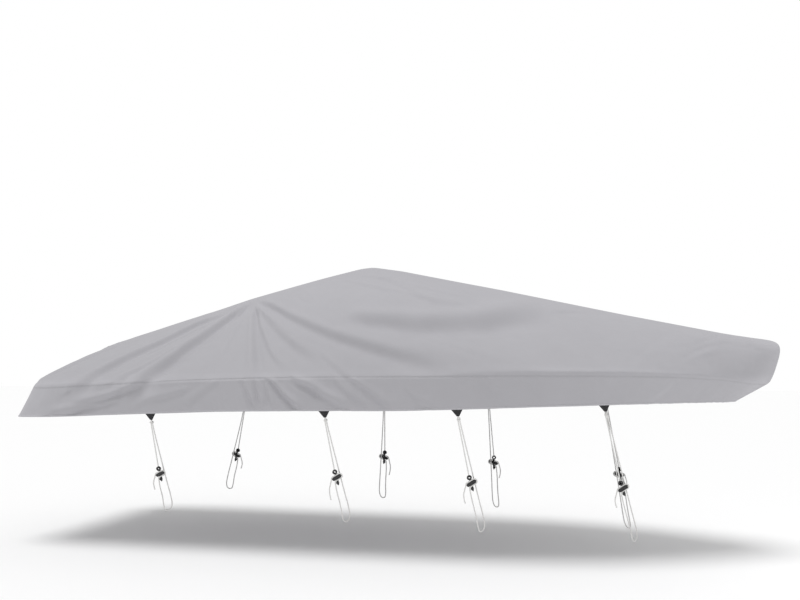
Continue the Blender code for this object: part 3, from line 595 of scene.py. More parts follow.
def cloth_points(rib, down, side, inset):
    """The plain form, moved out along its normal by folds, unrest and sewn lines. Near the ridge the
    crease is rounded: z falls by the roof's slope times (root of y squared plus r squared, less y)."""
    folds = STARBOARD_FOLDS if side == STARBOARD else PORT_FOLDS
    plain, normal = curve_down(rib, down), normals(rib, down)
    below_edge, above_hem = metres_from_edge(rib, down), (HEM - down) * skirt_height(rib)
    below_seam = below_edge - rib_value("seam_drop", rib)
    calm = tab_calm(rib, down)
    lift = (fold_relief(plain, normal, folds) + unrest(rib, down, side)) * calm
    lift += SEAM_PUCKER * puckers(rib, below_seam, side, SEAM_REACH)
    lift += HEM_PUCKER * puckers(rib + HEM_SHIFT, above_hem, side, HEM_REACH) * calm
    lift *= np.clip(np.minimum(rib, LAST_RIB - rib) / MIDDLE_FADE, 0, 1)
    lift *= np.clip(down / RIDGE_FADE, 0, 1) ** RIDGE_POWER
    swell = SKIRT_SWELL * bell(below_seam - SWELL_BELOW, SWELL_REACH)
    lift += np.interp(rib, *SEAM_PULL) * (swell - SEAM_DIP * bell(below_seam, DIP_REACH))
    lift += HEM_SWELL * np.clip(1 - (2 * above_hem / HEM_WIDTH - 1) ** 2, 0, 1)
    lift -= EDGE_ROUND * bell(below_edge, EDGE_REACH)
    tucked = 1 - LAP_TUCK * np.clip((below_seam + LAP_START) / LAP_REACH, 0, 1)
    points = plain + normal * (lift - inset * tucked)[:, None]
    sideways = np.abs(points[:, 1])
    slope = np.clip(np.abs(normal[:, 1]) / np.maximum(normal[:, 2], LEAST_UP), 0, STEEPEST)
    near_ridge = np.clip(1 - down / CREASE_FADE, 0, 1)
    points[:, 2] -= slope * near_ridge * (np.hypot(sideways, RIDGE_ROUND) - sideways)
    points[(down < TINY) | (rib < TINY) | (rib > LAST_RIB - TINY), 1] = 0
    points[:, 1] *= -side
    return points


def weave_map(rib, down, side):
    """Metres along and across the cloth: x along the boat, or the way round on the transom, and the
    height down the rib."""
    here, corner = curve_down(rib, down), curve_down(np.maximum(rib, TRANSOM_CORNER), down)
    along = corner[:, 0] - np.abs(corner[:, 1] - here[:, 1])
    return np.stack([along, -side * in_metres(rib, down)[:, 1]], -1)


def sewn_map(rib, down):
    """Metres below the seam and above the hem."""
    above_hem = (HEM - down) * skirt_height(rib)
    return np.stack([(down - seam_down(rib)) * skirt_height(rib), above_hem], -1)


def fall_map(rib, down):
    """Metres below the gunwale (minus above it), and the height under the peak."""
    return np.stack([metres_from_edge(rib, down), curve_down(rib, down)[:, 2]], -1)


def thicken(obj, thickness):
    """Gives a sheet its thickness, inwards from the face that is modelled."""
    solidify = obj.modifiers.new("thickness", "SOLIDIFY")
    solidify.thickness, solidify.offset = thickness, -1.0
    return obj


def both_sides(name, ribs, rows, inset):
    """One sheet over both sides. Rows is an (r, c) grid of 'down'. The sides share their points on the
    middle plane, but not their map values there."""
    rib, down = np.broadcast_to(ribs, rows.shape).ravel(), rows.ravel()
    halves = [cloth_points(rib, down, side, inset) for side in (STARBOARD, PORT)]
    count = len(rib)
    faces = grid_faces(*rows.shape)
    faces = np.concatenate([faces[:, ::-1], faces + count])
    shared = np.arange(2 * count)
    on_plane = (np.linalg.norm(halves[0] - halves[1], axis=1) < SAME_PLACE).nonzero()[0]
    shared[on_plane + count] = on_plane
    kept, numbers = np.unique(shared[faces], return_inverse=True)
    maps = {
        "cloth": np.concatenate([weave_map(rib, down, side) for side in (STARBOARD, PORT)]),
        "sewn": np.concatenate([sewn_map(rib, down)] * 2),
        "fall": np.concatenate([fall_map(rib, down)] * 2),
    }
    return thicken(mesh_object(name, np.concatenate(halves)[kept], numbers.reshape(-1, 4), maps, faces), CLOTH)


def one_face_area(obj):
    """Square metres of a sheet before it gets its thickness."""
    areas = np.empty(len(obj.data.polygons), np.float32)
    obj.data.polygons.foreach_get("area", areas)
    return float(areas.sum())


# %% Cut the two sheets
ROOF_COLUMNS, SKIRT_COLUMNS = 340, 500
ROOF_ROWS, EDGE_ROWS, SKIRT_ROWS, HEM_ROWS = 48, 10, 14, 8
HEM_ROWS_FROM = 0.026  # metres above the hem where its closer rows start
CLOSER_TO_RIDGE, CLOSER_TO_SEAM = 1.15, 1.6  # powers above 1 crowd the rows there


def rows_between(start, end, shares):
    """Rows of 'down' at the given shares of the way between two rows."""
    return start + (end - start) * np.asarray(shares)[:, None]


roof_ribs = np.linspace(0, LAST_RIB, ROOF_COLUMNS + 1)
seam = seam_down(roof_ribs)
roof_rows = np.concatenate([
    rows_between(0 * seam, np.ones_like(seam), np.linspace(0, 1, ROOF_ROWS + 1)[:-1] ** CLOSER_TO_RIDGE),
    rows_between(np.ones_like(seam), seam, 1 - np.linspace(1, 0, EDGE_ROWS + 1) ** CLOSER_TO_SEAM),
])
roof = both_sides("cover_roof", roof_ribs, roof_rows, 0.0)

skirt_ribs = np.linspace(0, LAST_RIB, SKIRT_COLUMNS + 1)
seam = seam_down(skirt_ribs)
per_metre = 1 / skirt_height(skirt_ribs)
lap_rows = [seam + metres * per_metre for metres in SEAM_ROWS]
hem_start = HEM - HEM_ROWS_FROM * per_metre
skirt_rows = np.concatenate([
    np.array(lap_rows[:-1]),
    rows_between(lap_rows[-1], hem_start, np.linspace(0, 1, SKIRT_ROWS + 1)[:-1]),
    rows_between(hem_start, np.full_like(seam, HEM), np.linspace(0, 1, HEM_ROWS + 1)),
])
skirt = both_sides("cover_skirt", skirt_ribs, skirt_rows, SKIRT_INSET)
roof_area, skirt_area = one_face_area(roof), one_face_area(skirt)
print("roof", round(roof_area, 2), "square metres; skirt", round(skirt_area, 2))

# %% [markdown]
# ## Where the ties hang
# Each rope hangs from a tab under the hem and went round a rail of the trailer. All of a tie is placed
# in its own frame: *down* along the pull, *right* along the boat, *out* away from it. The routes are
# short tables in that frame, and one curve goes through their points.

# %% Tie frames
ROPE = 0.012
GAP = 0.0003  # between a tab's tip and its knot
TIE_COLUMNS = ("name", "rib", "rail_x", "rail_y", "rail_height", "eye_share", "free_end")
TIES = (
    ("aft", 6.25, -1.97, 0.85, -0.970, 0.515, 0.150),
    ("mid_aft", 10.76, -0.06, 0.85, -1.013, 0.500, 0.200),
    ("mid_fore", 13.42, 1.265, 0.80, -1.065, 0.510, 0.170),
    ("fore", 16.05, 2.69, 0.40, -1.170, 0.530, 0.160),
)
SIDES = (("starboard", STARBOARD), ("port", PORT))
TAB_HALF_WIDTH, TAB_TIP_HALF_WIDTH, TAB_LENGTH, TAB_THICKNESS = 0.054, 0.012, 0.066, 0.0025
HEM_TUCK, TAB_CLEARANCE = 0.025, 0.0025  # how far a tab reaches up behind the skirt, and how far behind it
BEHIND_SKIRT = SKIRT_INSET + CLOTH + TAB_CLEARANCE
KNOT_SIZE = np.array((0.036, 0.032, 0.042))
EYE_RADIUS, EYE_HOLE_RADIUS = 0.0235, 0.0095


def unit(vector):
    return vector / np.linalg.norm(vector)


def hem_points(ribs, side, inset, up=0.0):
    """Points of the plain form at the hem, or 'up' metres above it, set in from the cloth's face."""
    rib = np.asarray(ribs, float)
    down = HEM - up / SKIRT_RUN + np.zeros(len(rib))
    points = curve_down(rib, down) - normals(rib, down) * inset
    points[:, 1] *= -side
    return points


def tie_frame(tie, side):
    """Where a tie hangs: its hem point, knot, eye and rail, and its right, down and out axes."""
    hem = hem_points([tie["rib"]], side, BEHIND_SKIRT)[0]
    rail = np.array([tie["rail_x"], side * tie["rail_y"], tie["rail_height"] - APEX_HEIGHT])
    down = unit(rail - hem)
    right = unit(np.cross(-down, (0.0, side, 0.0)))
    out = np.cross(right, -down)
    knot = hem + down * (TAB_LENGTH + GAP + KNOT_SIZE[2] / 2) - out * TAB_THICKNESS / 2
    eye = knot + (rail - knot) * tie["eye_share"]
    return {"hem": hem, "knot": knot, "eye": eye, "rail": rail, "right": right, "down": down, "out": out}


def in_frame(frame, start, offsets):
    """Points at offsets (right, down, out) from one of the frame's places."""
    axes = np.stack([frame["right"], frame["down"], frame["out"]])
    return frame[start] + np.atleast_2d(offsets) @ axes


ties = []
for side_name, side in SIDES:
    for row in TIES:
        tie = dict(zip(TIE_COLUMNS, row))
        ties.append({**tie, "end": f"{side_name}_{tie['name']}", "side": side, **tie_frame(tie, side)})
print(len(ties), "ties")

# %% [markdown]
# ## Ropes
# The rope is 12 mm braid. Its path is a centripetal Catmull-Rom curve, which keeps round bends without
# overshooting. The tube is a round profile carried along that path; its strands are real relief: the
# radius rises and falls with two sets of waves that wind round it in opposite ways.

# %% Rope routes
BODY_CENTRE = np.array([0.011, 0.0570])
BODY_TILT = np.radians(26)
BODY_ALONG = np.array([np.cos(BODY_TILT), -np.sin(BODY_TILT)])
BODY_ACROSS = np.array([np.sin(BODY_TILT), np.cos(BODY_TILT)])
BODY_HALF_AXIS, BODY_RADIUS = 0.0355, 0.0165
WRAP_GAP = 0.0020
WRAP_RADIUS = BODY_RADIUS + ROPE / 2 + WRAP_GAP
BEND_RADIUS = 2 * ROPE
BEND_CENTRE = (
    BODY_CENTRE - BODY_ALONG * 0.7 * BODY_HALF_AXIS + BODY_ACROSS * (WRAP_RADIUS + BEND_RADIUS)
)
EYE_GAP = 0.0008
SHORT_FROM_KNOT = (-0.0075, 0.014, 0.000)
FROM_KNOT = ((0.0075, 0.014, 0.000), (0.013, 0.140, -0.006))
ROUND_RAIL = (
    (0.046, -0.300, -0.050), (0.052, -0.160, -0.068), (0.052, -0.055, -0.074), (0.040, -0.012, -0.062),
    (0.022, 0.000, -0.036), (0.004, -0.013, -0.010), (-0.001, -0.058, 0.000), (-0.002, -0.160, 0.000),
)
FREE_END = ((-0.010, 0.22), (-0.020, 0.48), (-0.016, 0.76), (-0.004, 1.00))


def beside_body(shares, over):
    """Places of the rope's middle along the tightener's body, under it (1) or over it (-1)."""
    shares = np.array(shares)[:, None]
    return BODY_CENTRE + BODY_ALONG * BODY_HALF_AXIS * shares + BODY_ACROSS * WRAP_RADIUS * over


def round_end(end, degrees, over):
    """Places round the body's right (1) or left (-1) end."""
    turn = np.radians(degrees)[:, None]
    spoke = BODY_ACROSS * over * np.cos(turn) + BODY_ALONG * end * np.sin(turn)
    return BODY_CENTRE + BODY_ALONG * BODY_HALF_AXIS * end + spoke * WRAP_RADIUS


def round_tightener():
    """Up to the fin, under the body, round its right end, back over it and round its left end."""
    left = np.array([-1.0, 0.0])
    up = BEND_CENTRE + left * BEND_RADIUS + np.array([[0, 0.08], [0, 0.03], [0, 0.0]])
    over_fin = BEND_CENTRE + unit(left - BODY_ACROSS) * BEND_RADIUS
    flat = np.vstack([
        up, over_fin, beside_body((-0.7, 0.15, 1), 1), round_end(1, (45, 90, 135), 1),
        beside_body((1, 0.1, -0.9), -1), round_end(-1, (32, 64), -1),
    ])
    return np.column_stack([flat, np.zeros(len(flat))])


def long_route(tie):
    """From the knot down round the rail, up to the tightener, round it and off it."""
    places = (("knot", FROM_KNOT), ("rail", ROUND_RAIL), ("eye", round_tightener()))
    parts = [in_frame(tie, start, offsets) for start, offsets in places]
    leaves = parts[-1][-1]
    aside, share = np.array(FREE_END).T
    hanging = np.outer(share, (0, 0, -tie["free_end"]))
    return np.vstack([*parts, leaves + aside[:, None] * tie["right"] + hanging])


def short_route(tie):
    """Straight from the knot to the top of the tightener's eye."""
    above_eye = (0, -EYE_RADIUS - EYE_GAP, 0)
    return np.vstack([in_frame(tie, "knot", SHORT_FROM_KNOT), in_frame(tie, "eye", above_eye)])


def blend(start, end, at_start, at_end, at):
    return (start * (at_end - at) + end * (at - at_start)) / (at_end - at_start)


CURVE_STEPS = 40


def smooth_route(points, spacing):
    """A centripetal Catmull-Rom curve: the knots' gaps are the roots of the points' distances. It is
    then read again at even steps of about 'spacing' along its length."""
    p = np.vstack([2 * points[0] - points[1], points, 2 * points[-1] - points[-2]])
    knots = np.concatenate([[0], np.cumsum(np.sqrt(np.linalg.norm(np.diff(p, axis=0), axis=1)))])
    curve = [points[:1]]
    for i in range(1, len(p) - 2):
        t = np.linspace(knots[i], knots[i + 1], CURVE_STEPS + 1)[1:, None]
        a = [blend(p[k], p[k + 1], knots[k], knots[k + 1], t) for k in (i - 1, i, i + 1)]
        b = [blend(a[k], a[k + 1], knots[i - 1 + k], knots[i + 1 + k], t) for k in (0, 1)]
        curve.append(blend(b[0], b[1], knots[i], knots[i + 1], t))
    return even_steps(np.vstack(curve), spacing)


def even_steps(points, spacing):
    run = np.concatenate([[0], np.cumsum(np.linalg.norm(np.diff(points, axis=0), axis=1))])
    at = np.linspace(0, run[-1], int(round(run[-1] / spacing)) + 1)
    return np.stack([np.interp(at, run, points[:, axis]) for axis in range(3)], -1)


# %% Tubes
ROPE_SIDES, KNOT_SIDES = 16, 14
ROPE_STEP = 0.004
BRAID_PITCH = 0.032  # metres in which a strand winds once round
BRAID_DEPTH = 0.10  # a groove's depth, as a share of the radius
TIP_LENGTH, TIP_LEAST = 0.6, 0.05  # the rounded tip's length in radii, and the square of its least size


def tube_map(run, faces, sides):
    """A map that runs once round and in metres along. The faces that close the round, or the row,
    read their own values there, so the map has a clean seam."""
    rings = len(run)
    round_at, along_at = np.meshgrid(np.arange(sides + 1) / sides, np.append(run, run[-1] + ROPE_STEP))
    row, column = faces // sides, faces % sides
    closes_round = (column.min(axis=1) == 0) & (column.max(axis=1) == sides - 1)
    column = np.where(closes_round[:, None] & (column == 0), sides, column)
    closes_row = (row.min(axis=1) == 0) & (row.max(axis=1) == rings - 1)
    row = np.where(closes_row[:, None] & (row == 0), rings, row)
    return np.stack([round_at, along_at], -1).reshape(-1, 2), row * (sides + 1) + column


def tube(name, path, radius, reference, sides=ROPE_SIDES, closed=False):
    """A round profile carried along a path. Its axes are the path's direction crossed with a reference
    direction. Radius times (1 + depth * (waves - 1)), where the waves are the larger of two that wind
    left and right. An open tube's ends are drawn in to a rounded tip."""
    if closed:
        direction = np.roll(path, -1, axis=0) - np.roll(path, 1, axis=0)
    else:
        direction = np.gradient(path, axis=0)
    direction /= np.linalg.norm(direction, axis=1)[:, None]
    first = np.cross(direction, reference)
    first /= np.linalg.norm(first, axis=1)[:, None]
    second = np.cross(direction, first)
    run = np.concatenate([[0], np.cumsum(np.linalg.norm(np.diff(path, axis=0), axis=1))])
    angle = np.linspace(0, 2 * np.pi, sides, endpoint=False)
    winding = 2 * np.pi * run[:, None] / BRAID_PITCH
    waves_round = np.maximum(np.abs(np.cos(2 * angle + winding)), np.abs(np.cos(2 * angle - winding)))
    size = radius * (1 + BRAID_DEPTH * (waves_round - 1))
    if not closed:
        to_end = np.minimum(run, run[-1] - run)[:, None]
        short_of_full = np.clip(1 - to_end / (TIP_LENGTH * radius), 0, 1)
        size = size * np.sqrt(np.clip(1 - short_of_full**2, TIP_LEAST, 1))
    spokes = np.cos(angle)[None, :, None] * first[:, None] + np.sin(angle)[None, :, None] * second[:, None]
    points = (path[:, None] + spokes * size[..., None]).reshape(-1, 3)
    faces = grid_faces(len(path), sides, round_columns=True, round_rows=closed)
    values, map_faces = tube_map(run, faces, sides)
    if closed:
        return mesh_object(name, points, faces, {"rope": values}, map_faces)
    # Each end is closed by a fan of triangles to the path's own end point.
    ring, start_tip, last_ring = np.arange(sides), np.full(sides, len(points)), len(points) - sides
    start_fan = np.stack([ring, start_tip, (ring + 1) % sides], -1)
    end_fan = np.stack([last_ring + ring, last_ring + (ring + 1) % sides, start_tip + 1], -1)
    fans = np.concatenate([start_fan, end_fan])
    every = np.concatenate([faces[:, [0, 1, 2]], faces[:, [0, 2, 3]], fans])
    map_every = np.concatenate([map_faces[:, [0, 1, 2]], map_faces[:, [0, 2, 3]], np.zeros_like(fans)])
    return mesh_object(name, np.vstack([points, path[[0, -1]]]), every, {"rope": values}, map_every)


def length_of(path):
    return float(np.linalg.norm(np.diff(path, axis=0), axis=1).sum())


ropes, paths = {}, {}
for tie in ties:
    for strand, route in (("long", long_route(tie)), ("short", short_route(tie))):
        name = f"{strand}_strand_{tie['end']}"
        paths[name] = smooth_route(route, ROPE_STEP) if strand == "long" else even_steps(route, ROPE_STEP)
        ropes[name] = tube(name, paths[name], ROPE / 2, tie["out"])
for strand in ("long", "short"):
    print(strand, "strands", [round(length_of(paths[name]), 3) for name in paths if name.startswith(strand)])

# %% [markdown]
# ## Knots
# Under each tab the rope is tied in a tight overhand knot. An overhand knot is a trefoil: its middle
# line is (sin t + 2 sin 2t, cos t - 2 cos 2t, -sin 3t). Scaled until the rope touches itself, it is the
# lump of crossing strands that a real knot shows.

# %% Tie the knots
KNOT_ROPE = 0.0125  # a knotted braid is pulled a little flat and wide
KNOT_STEPS = 96


def knot_path(tie):
    t = np.linspace(0, 2 * np.pi, KNOT_STEPS, endpoint=False)
    form = np.stack([np.sin(t) + 2 * np.sin(2 * t), np.cos(t) - 2 * np.cos(2 * t), -np.sin(3 * t)], -1)
    form -= (form.max(axis=0) + form.min(axis=0)) / 2
    half_size = KNOT_SIZE[[0, 2, 1]] / 2 - KNOT_ROPE / 2
    form *= half_size / np.abs(form).max(axis=0)
    return in_frame(tie, "knot", form)


knots = {}
for tie in ties:
    name = f"rope_knot_{tie['end']}"
    knots[tie["end"]] = tube(name, knot_path(tie), KNOT_ROPE / 2, tie["out"], KNOT_SIDES, closed=True)
print("knot's middle line", round(length_of(knot_path(ties[0])), 3), "m")

# %% [markdown]
# ## Tabs
# A tab is a triangle of heavy black webbing, sewn behind the hem and narrowing down to the rope. It is
# a grid whose rows run from the tuck behind the hem to the tip; its two edges are folded over and so
# stand a little higher.

# %% Cut the tabs
TAB_ROWS, TUCK_ROWS, TAB_COLUMNS = 22, 5, 17
FOLDED_EDGE, FOLD_AT, FOLD_REACH = 0.0011, 0.93, 0.10  # its height, its place across, its reach


def tab_sheet(tie):
    """Rows: a few behind the skirt, then (1 - t) of the width at the hem and t of the tip's. The middle
    of each row is pulled down and the folded edges stand out by a bell at each side."""
    hem_ends = hem_points([tie["rib"] - 0.5, tie["rib"] + 0.5], tie["side"], 0.0)
    rib_width = np.linalg.norm(hem_ends[1] - hem_ends[0])
    across = np.linspace(-1, 1, TAB_COLUMNS)
    ribs = tie["rib"] + across * TAB_HALF_WIDTH / rib_width
    at_hem = hem_points(ribs, tie["side"], BEHIND_SKIRT)
    behind = hem_points(ribs, tie["side"], BEHIND_SKIRT, HEM_TUCK)
    share = np.linspace(0, 1, TAB_ROWS)[:, None, None]
    narrowed = 1 - (1 - TAB_TIP_HALF_WIDTH / TAB_HALF_WIDTH) * share
    hanging = tie["hem"] + tie["down"] * TAB_LENGTH * share + (at_hem - tie["hem"]) * narrowed
    tucked = behind + (at_hem - behind) * np.linspace(0, 1, TUCK_ROWS + 1)[:-1, None, None]
    grid = np.concatenate([tucked, hanging])
    fold = FOLDED_EDGE * (bell(across - FOLD_AT, FOLD_REACH) + bell(across + FOLD_AT, FOLD_REACH))
    grid = grid + tie["out"] * fold[None, :, None] * np.linspace(0, 1, len(grid))[:, None, None]
    width = np.linalg.norm(grid[:, -1] - grid[:, 0], axis=1)
    middle_steps = np.linalg.norm(np.diff(grid[:, TAB_COLUMNS // 2], axis=0), axis=1)
    height = np.broadcast_to(np.concatenate([[0], np.cumsum(middle_steps)])[:, None], grid.shape[:2])
    flat = np.stack([across[None] * width[:, None] / 2, height], -1)
    faces = grid_faces(*grid.shape[:2])
    faces = faces if tie["side"] == PORT else faces[:, ::-1]
    obj = mesh_object(f"webbing_tab_{tie['end']}", grid.reshape(-1, 3), faces, {"webbing": flat.reshape(-1, 2)})
    return thicken(obj, TAB_THICKNESS)


tabs = {tie["end"]: tab_sheet(tie) for tie in ties}
print(len(tabs), "tabs")

# %% [markdown]
# ## Tighteners
# The tightener is one moulding: an eye for the short strand, a slanted body that the long strand is
# wrapped on, and a fin. The solids already have its outline, with few sides to each round. A merged
# copy of each gets more corners there, moved out to the true circle, and rounded edges from a Bevel
# modifier, as a mould gives them.

# %% Round the tighteners
FIN_RADIUS = 0.0145
EXTRA_CORNERS = 3
LONGEST_SHORT_EDGE = 0.85  # radii; a longer edge is a flat of the body, not a step of its round
MOULD_ROUND, MOULD_STEPS, MOULD_ANGLE = 0.0013, 3, 35  # radius, segments, degrees
FLAT_ANGLE = 2  # degrees under which two faces are one
MERGED, NEAR_CIRCLE = 2e-5, 1e-4
ROUNDS = (  # middle (right and down from the eye) and radius
    ((0, 0), EYE_RADIUS),
    ((0, 0), EYE_HOLE_RADIUS),
    (BODY_CENTRE + BODY_ALONG * BODY_HALF_AXIS, BODY_RADIUS),
    (BODY_CENTRE - BODY_ALONG * BODY_HALF_AXIS, BODY_RADIUS),
    (BEND_CENTRE, FIN_RADIUS),
)


def make_round(mesh, tie, middle, radius):
    """Cuts the short edges between corners of a circle, and scales each new corner's spoke to the radius."""
    axis = Vector(tie["out"])
    centre = Vector(in_frame(tie, "eye", (*middle, 0))[0])

    def spoke(corner):
        arm = corner.co - centre
        return arm - axis * arm.dot(axis)

    on_circle = {corner for corner in mesh.verts if abs(spoke(corner).length - radius) < NEAR_CIRCLE}
    edges = [
        edge for edge in mesh.edges
        if set(edge.verts) <= on_circle
        and edge.calc_length() < LONGEST_SHORT_EDGE * radius
        and abs((edge.verts[0].co - edge.verts[1].co).dot(axis)) < SAME_PLACE
    ]
    added = bmesh.ops.subdivide_edges(mesh, edges=edges, cuts=EXTRA_CORNERS)["geom_inner"]
    for corner in (part for part in added if isinstance(part, bmesh.types.BMVert)):
        arm = spoke(corner)
        corner.co += arm * (radius / arm.length - 1)
    return len(edges)


def moulded(tie):
    """A merged copy of a tightener's solid with its rounds made round and its edges softened."""
    source = bpy.data.objects[f"tightener_{tie['end']}"]
    mesh = bmesh.new()
    mesh.from_mesh(source.data)
    mesh.transform(source.matrix_world)
    bmesh.ops.remove_doubles(mesh, verts=mesh.verts, dist=MERGED)
    bmesh.ops.dissolve_limit(mesh, angle_limit=np.radians(FLAT_ANGLE), verts=mesh.verts, edges=mesh.edges)
    rounded = [make_round(mesh, tie, middle, radius) for middle, radius in ROUNDS]
    data = bpy.data.meshes.new(f"cleat_tightener_{tie['end']}")
    mesh.to_mesh(data)
    mesh.free()
    data.shade_smooth()
    obj = bpy.data.objects.new(data.name, data)
    scene.collection.objects.link(obj)
    bevel = obj.modifiers.new("moulded edges", "BEVEL")
    bevel.width, bevel.segments = MOULD_ROUND, MOULD_STEPS
    bevel.limit_method, bevel.angle_limit = "ANGLE", np.radians(MOULD_ANGLE)
    bevel.use_clamp_overlap = False
    bevel.harden_normals = True
    return obj, rounded


cleats = {}
for tie in ties:
    cleats[tie["end"]], rounded = moulded(tie)
print("edges rounded on each circle", rounded)
print(len(cleats), "tighteners")

# %% [markdown]
# ## Materials
# All finishes are made of nodes, with no pictures. A few small helpers keep the node code short: one
# adds a node, one does a sum. What more than one finish needs is a node group, built once: fine dirt
# and fading, a weave of threads, and rows of stitches.


# %% Node helpers
class Tree:
    """A thin wrapper round a node tree: add nodes, link sockets and do sums on them."""

    def __init__(self, tree):
        self.tree = tree

    def add(self, kind, values=(), **settings):
        node = self.tree.nodes.new("ShaderNode" + kind)
        for key, value in settings.items():
            setattr(node, key, value)
        for key, value in dict(values).items():
            self.put(node.inputs[key], value)
        return node

    def put(self, socket, value):
        if isinstance(value, bpy.types.NodeSocket):
            self.tree.links.new(value, socket)
        else:
            socket.default_value = value

    def sum(self, operation, *values):
        node = self.add("Math", operation=operation)
        for socket, value in zip(node.inputs, values):
            self.put(socket, value)
        return node.outputs[0]

    def product(self, *values):
        result = values[0]
        for value in values[1:]:
            result = self.sum("MULTIPLY", result, value)
        return result

    def scaled(self, vector, factor):
        node = self.add("VectorMath", operation="SCALE")
        self.put(node.inputs[0], vector)
        self.put(node.inputs["Scale"], factor)
        return node.outputs[0]

    def uv(self, name):
        return self.add("UVMap", uv_map=name).outputs["UV"]

    def parts(self, vector):
        return self.add("SeparateXYZ", {"Vector": vector}).outputs

    def bump(self, height, strength):
        return self.add("Bump", {"Height": height, "Strength": strength, "Distance": 1.0}).outputs["Normal"]

    def between(self, value, low, high, to_low=0.0, to_high=1.0):
        """A value's place between low and high, eased, as one between to_low and to_high."""
        values = {"Value": value, "From Min": low, "From Max": high, "To Min": to_low, "To Max": to_high}
        return self.add("MapRange", values, interpolation_type="SMOOTHSTEP").outputs["Result"]

    def tint(self, mode, factor, a, b):
        node = self.add("Mix", data_type="RGBA", blend_type=mode)
        for socket, value in ((node.inputs[0], factor), (node.inputs[6], a), (node.inputs[7], b)):
            self.put(socket, value)
        return node.outputs[2]

    def noise(self, where, scale, detail=2.0, roughness=0.5):
        values = {"Vector": where, "Scale": scale, "Detail": detail, "Roughness": roughness}
        return self.add("TexNoise", values).outputs["Fac"]


def new_group(name, inputs, outputs):
    """An empty node group; sockets are given as (name, kind) pairs."""
    tree = bpy.data.node_groups.new(name, "ShaderNodeTree")
    for direction, sockets in (("INPUT", inputs), ("OUTPUT", outputs)):
        for socket_name, kind in sockets:
            tree.interface.new_socket(name=socket_name, in_out=direction, socket_type="NodeSocket" + kind)
    group = Tree(tree)
    group.inputs = tree.nodes.new("NodeGroupInput").outputs
    group.outputs = tree.nodes.new("NodeGroupOutput").inputs
    return group


def new_material(name, roughness):
    material = bpy.data.materials.new(name)
    material.use_nodes = True
    tree = Tree(material.node_tree)
    shader = material.node_tree.nodes["Principled BSDF"]
    shader.inputs["Roughness"].default_value = roughness
    return material, tree, shader.inputs


def use_group(tree, group, values):
    node = tree.add("Group", node_tree=group.tree)
    for key, value in values.items():
        tree.put(node.inputs[key], value)
    return node.outputs


# %% [markdown]
# ### Weather
# Cloth that stands outdoors fades and soils unevenly: broad pale and dark clouds, faint runs down the
# slope, and fine speckle. Three noises at three sizes, multiplied into the colour, give it.

# %% Weather group
weather = new_group("weather", [("Colour", "Color"), ("Amount", "Float")], [("Colour", "Color")])
where = weather.add("TexCoord").outputs["Object"]
runs_at = weather.add("Mapping", {"Vector": where, "Scale": (5.0, 5.0, 0.5)}).outputs["Vector"]
clouds = weather.noise(where, 0.8, 3.0, 0.55)
patches = weather.noise(where, 5.5, 4.0, 0.6)
runs = weather.noise(runs_at, 1.6, 3.0, 0.6)
speckle = weather.noise(where, 140.0, 1.0, 0.5)
mixed = weather.sum("MULTIPLY", speckle, 0.10)
for layer, part in ((runs, 0.15), (patches, 0.30), (clouds, 0.45)):
    mixed = weather.sum("MULTIPLY_ADD", layer, part, mixed)
swing = weather.sum("MULTIPLY", weather.sum("SUBTRACT", mixed, 0.5), weather.inputs["Amount"])
brightness = weather.sum("ADD", swing, 1.0)
weather.put(weather.outputs["Colour"], weather.scaled(weather.inputs["Colour"], brightness))

# %% [markdown]
# ### Threads
# A plain weave has threads that go over and under each other. The height of sin(u) times sin(v), with
# the signs taken away, is a grid of small pillows, which is how such a weave looks up close.

# %% Threads group
threads = new_group("threads", [("Map", "Vector"), ("Threads per metre", "Float")], [("Height", "Float")])
turns = threads.sum("MULTIPLY", threads.inputs["Threads per metre"], float(np.pi))
spread = threads.parts(threads.scaled(threads.inputs["Map"], turns))
pillow = threads.sum("MULTIPLY", threads.sum("SINE", spread["X"]), threads.sum("SINE", spread["Y"]))
threads.put(threads.outputs["Height"], threads.sum("ABSOLUTE", pillow))

# %% [markdown]
# ### Stitches
# A row of stitches is a line at one distance from a sewn edge, broken into dashes along it. The mask is
# 1 on the thread; the height dips at each needle hole.

# %% Stitches group
stitches = new_group(
    "stitches",
    [("Distance", "Float"), ("Along", "Float"), ("Row", "Float"), ("Length", "Float")],
    [("Mask", "Float")],
)
from_row = stitches.sum("SUBTRACT", stitches.inputs["Distance"], stitches.inputs["Row"])
on_row = stitches.between(stitches.sum("ABSOLUTE", from_row), 0.0006, 0.0012, 1.0, 0.0)
dash = stitches.sum("FRACT", stitches.sum("DIVIDE", stitches.inputs["Along"], stitches.inputs["Length"]))
from_middle = stitches.sum("ABSOLUTE", stitches.sum("SUBTRACT", dash, 0.5))
in_dash = stitches.between(from_middle, 0.32, 0.42, 1.0, 0.0)
stitches.put(stitches.outputs["Mask"], stitches.sum("MULTIPLY", on_row, in_dash))

# %% [markdown]
# ### Coated cloth
# Cover cloth is a dull grey polyester with a thin coating. It hardly shines, so it is rough, with a
# little sheen from its fibres. Its colour also holds painted light: the roof is painted darker than the
# skirt as painted shade, the cloth is painted lighter near the peak and darker low down, the seam's
# recess has painted shade and the thick folded hem a painted highlight.


# %% Cloth materials
GREY = (0.470, 0.464, 0.491, 1)
THREAD_GREY = (0.30, 0.30, 0.31, 1)
CLOTH_THREADS = 900.0  # per metre
THREAD_HEIGHT, CRUMPLE_HEIGHT, STITCH_HEIGHT = 0.00008, 0.0016, 0.0005
STITCH_LENGTH = 0.007
SEAM_STITCHES, HEM_STITCHES = (-0.005, -0.011), (0.019,)  # metres below the seam, and above the hem


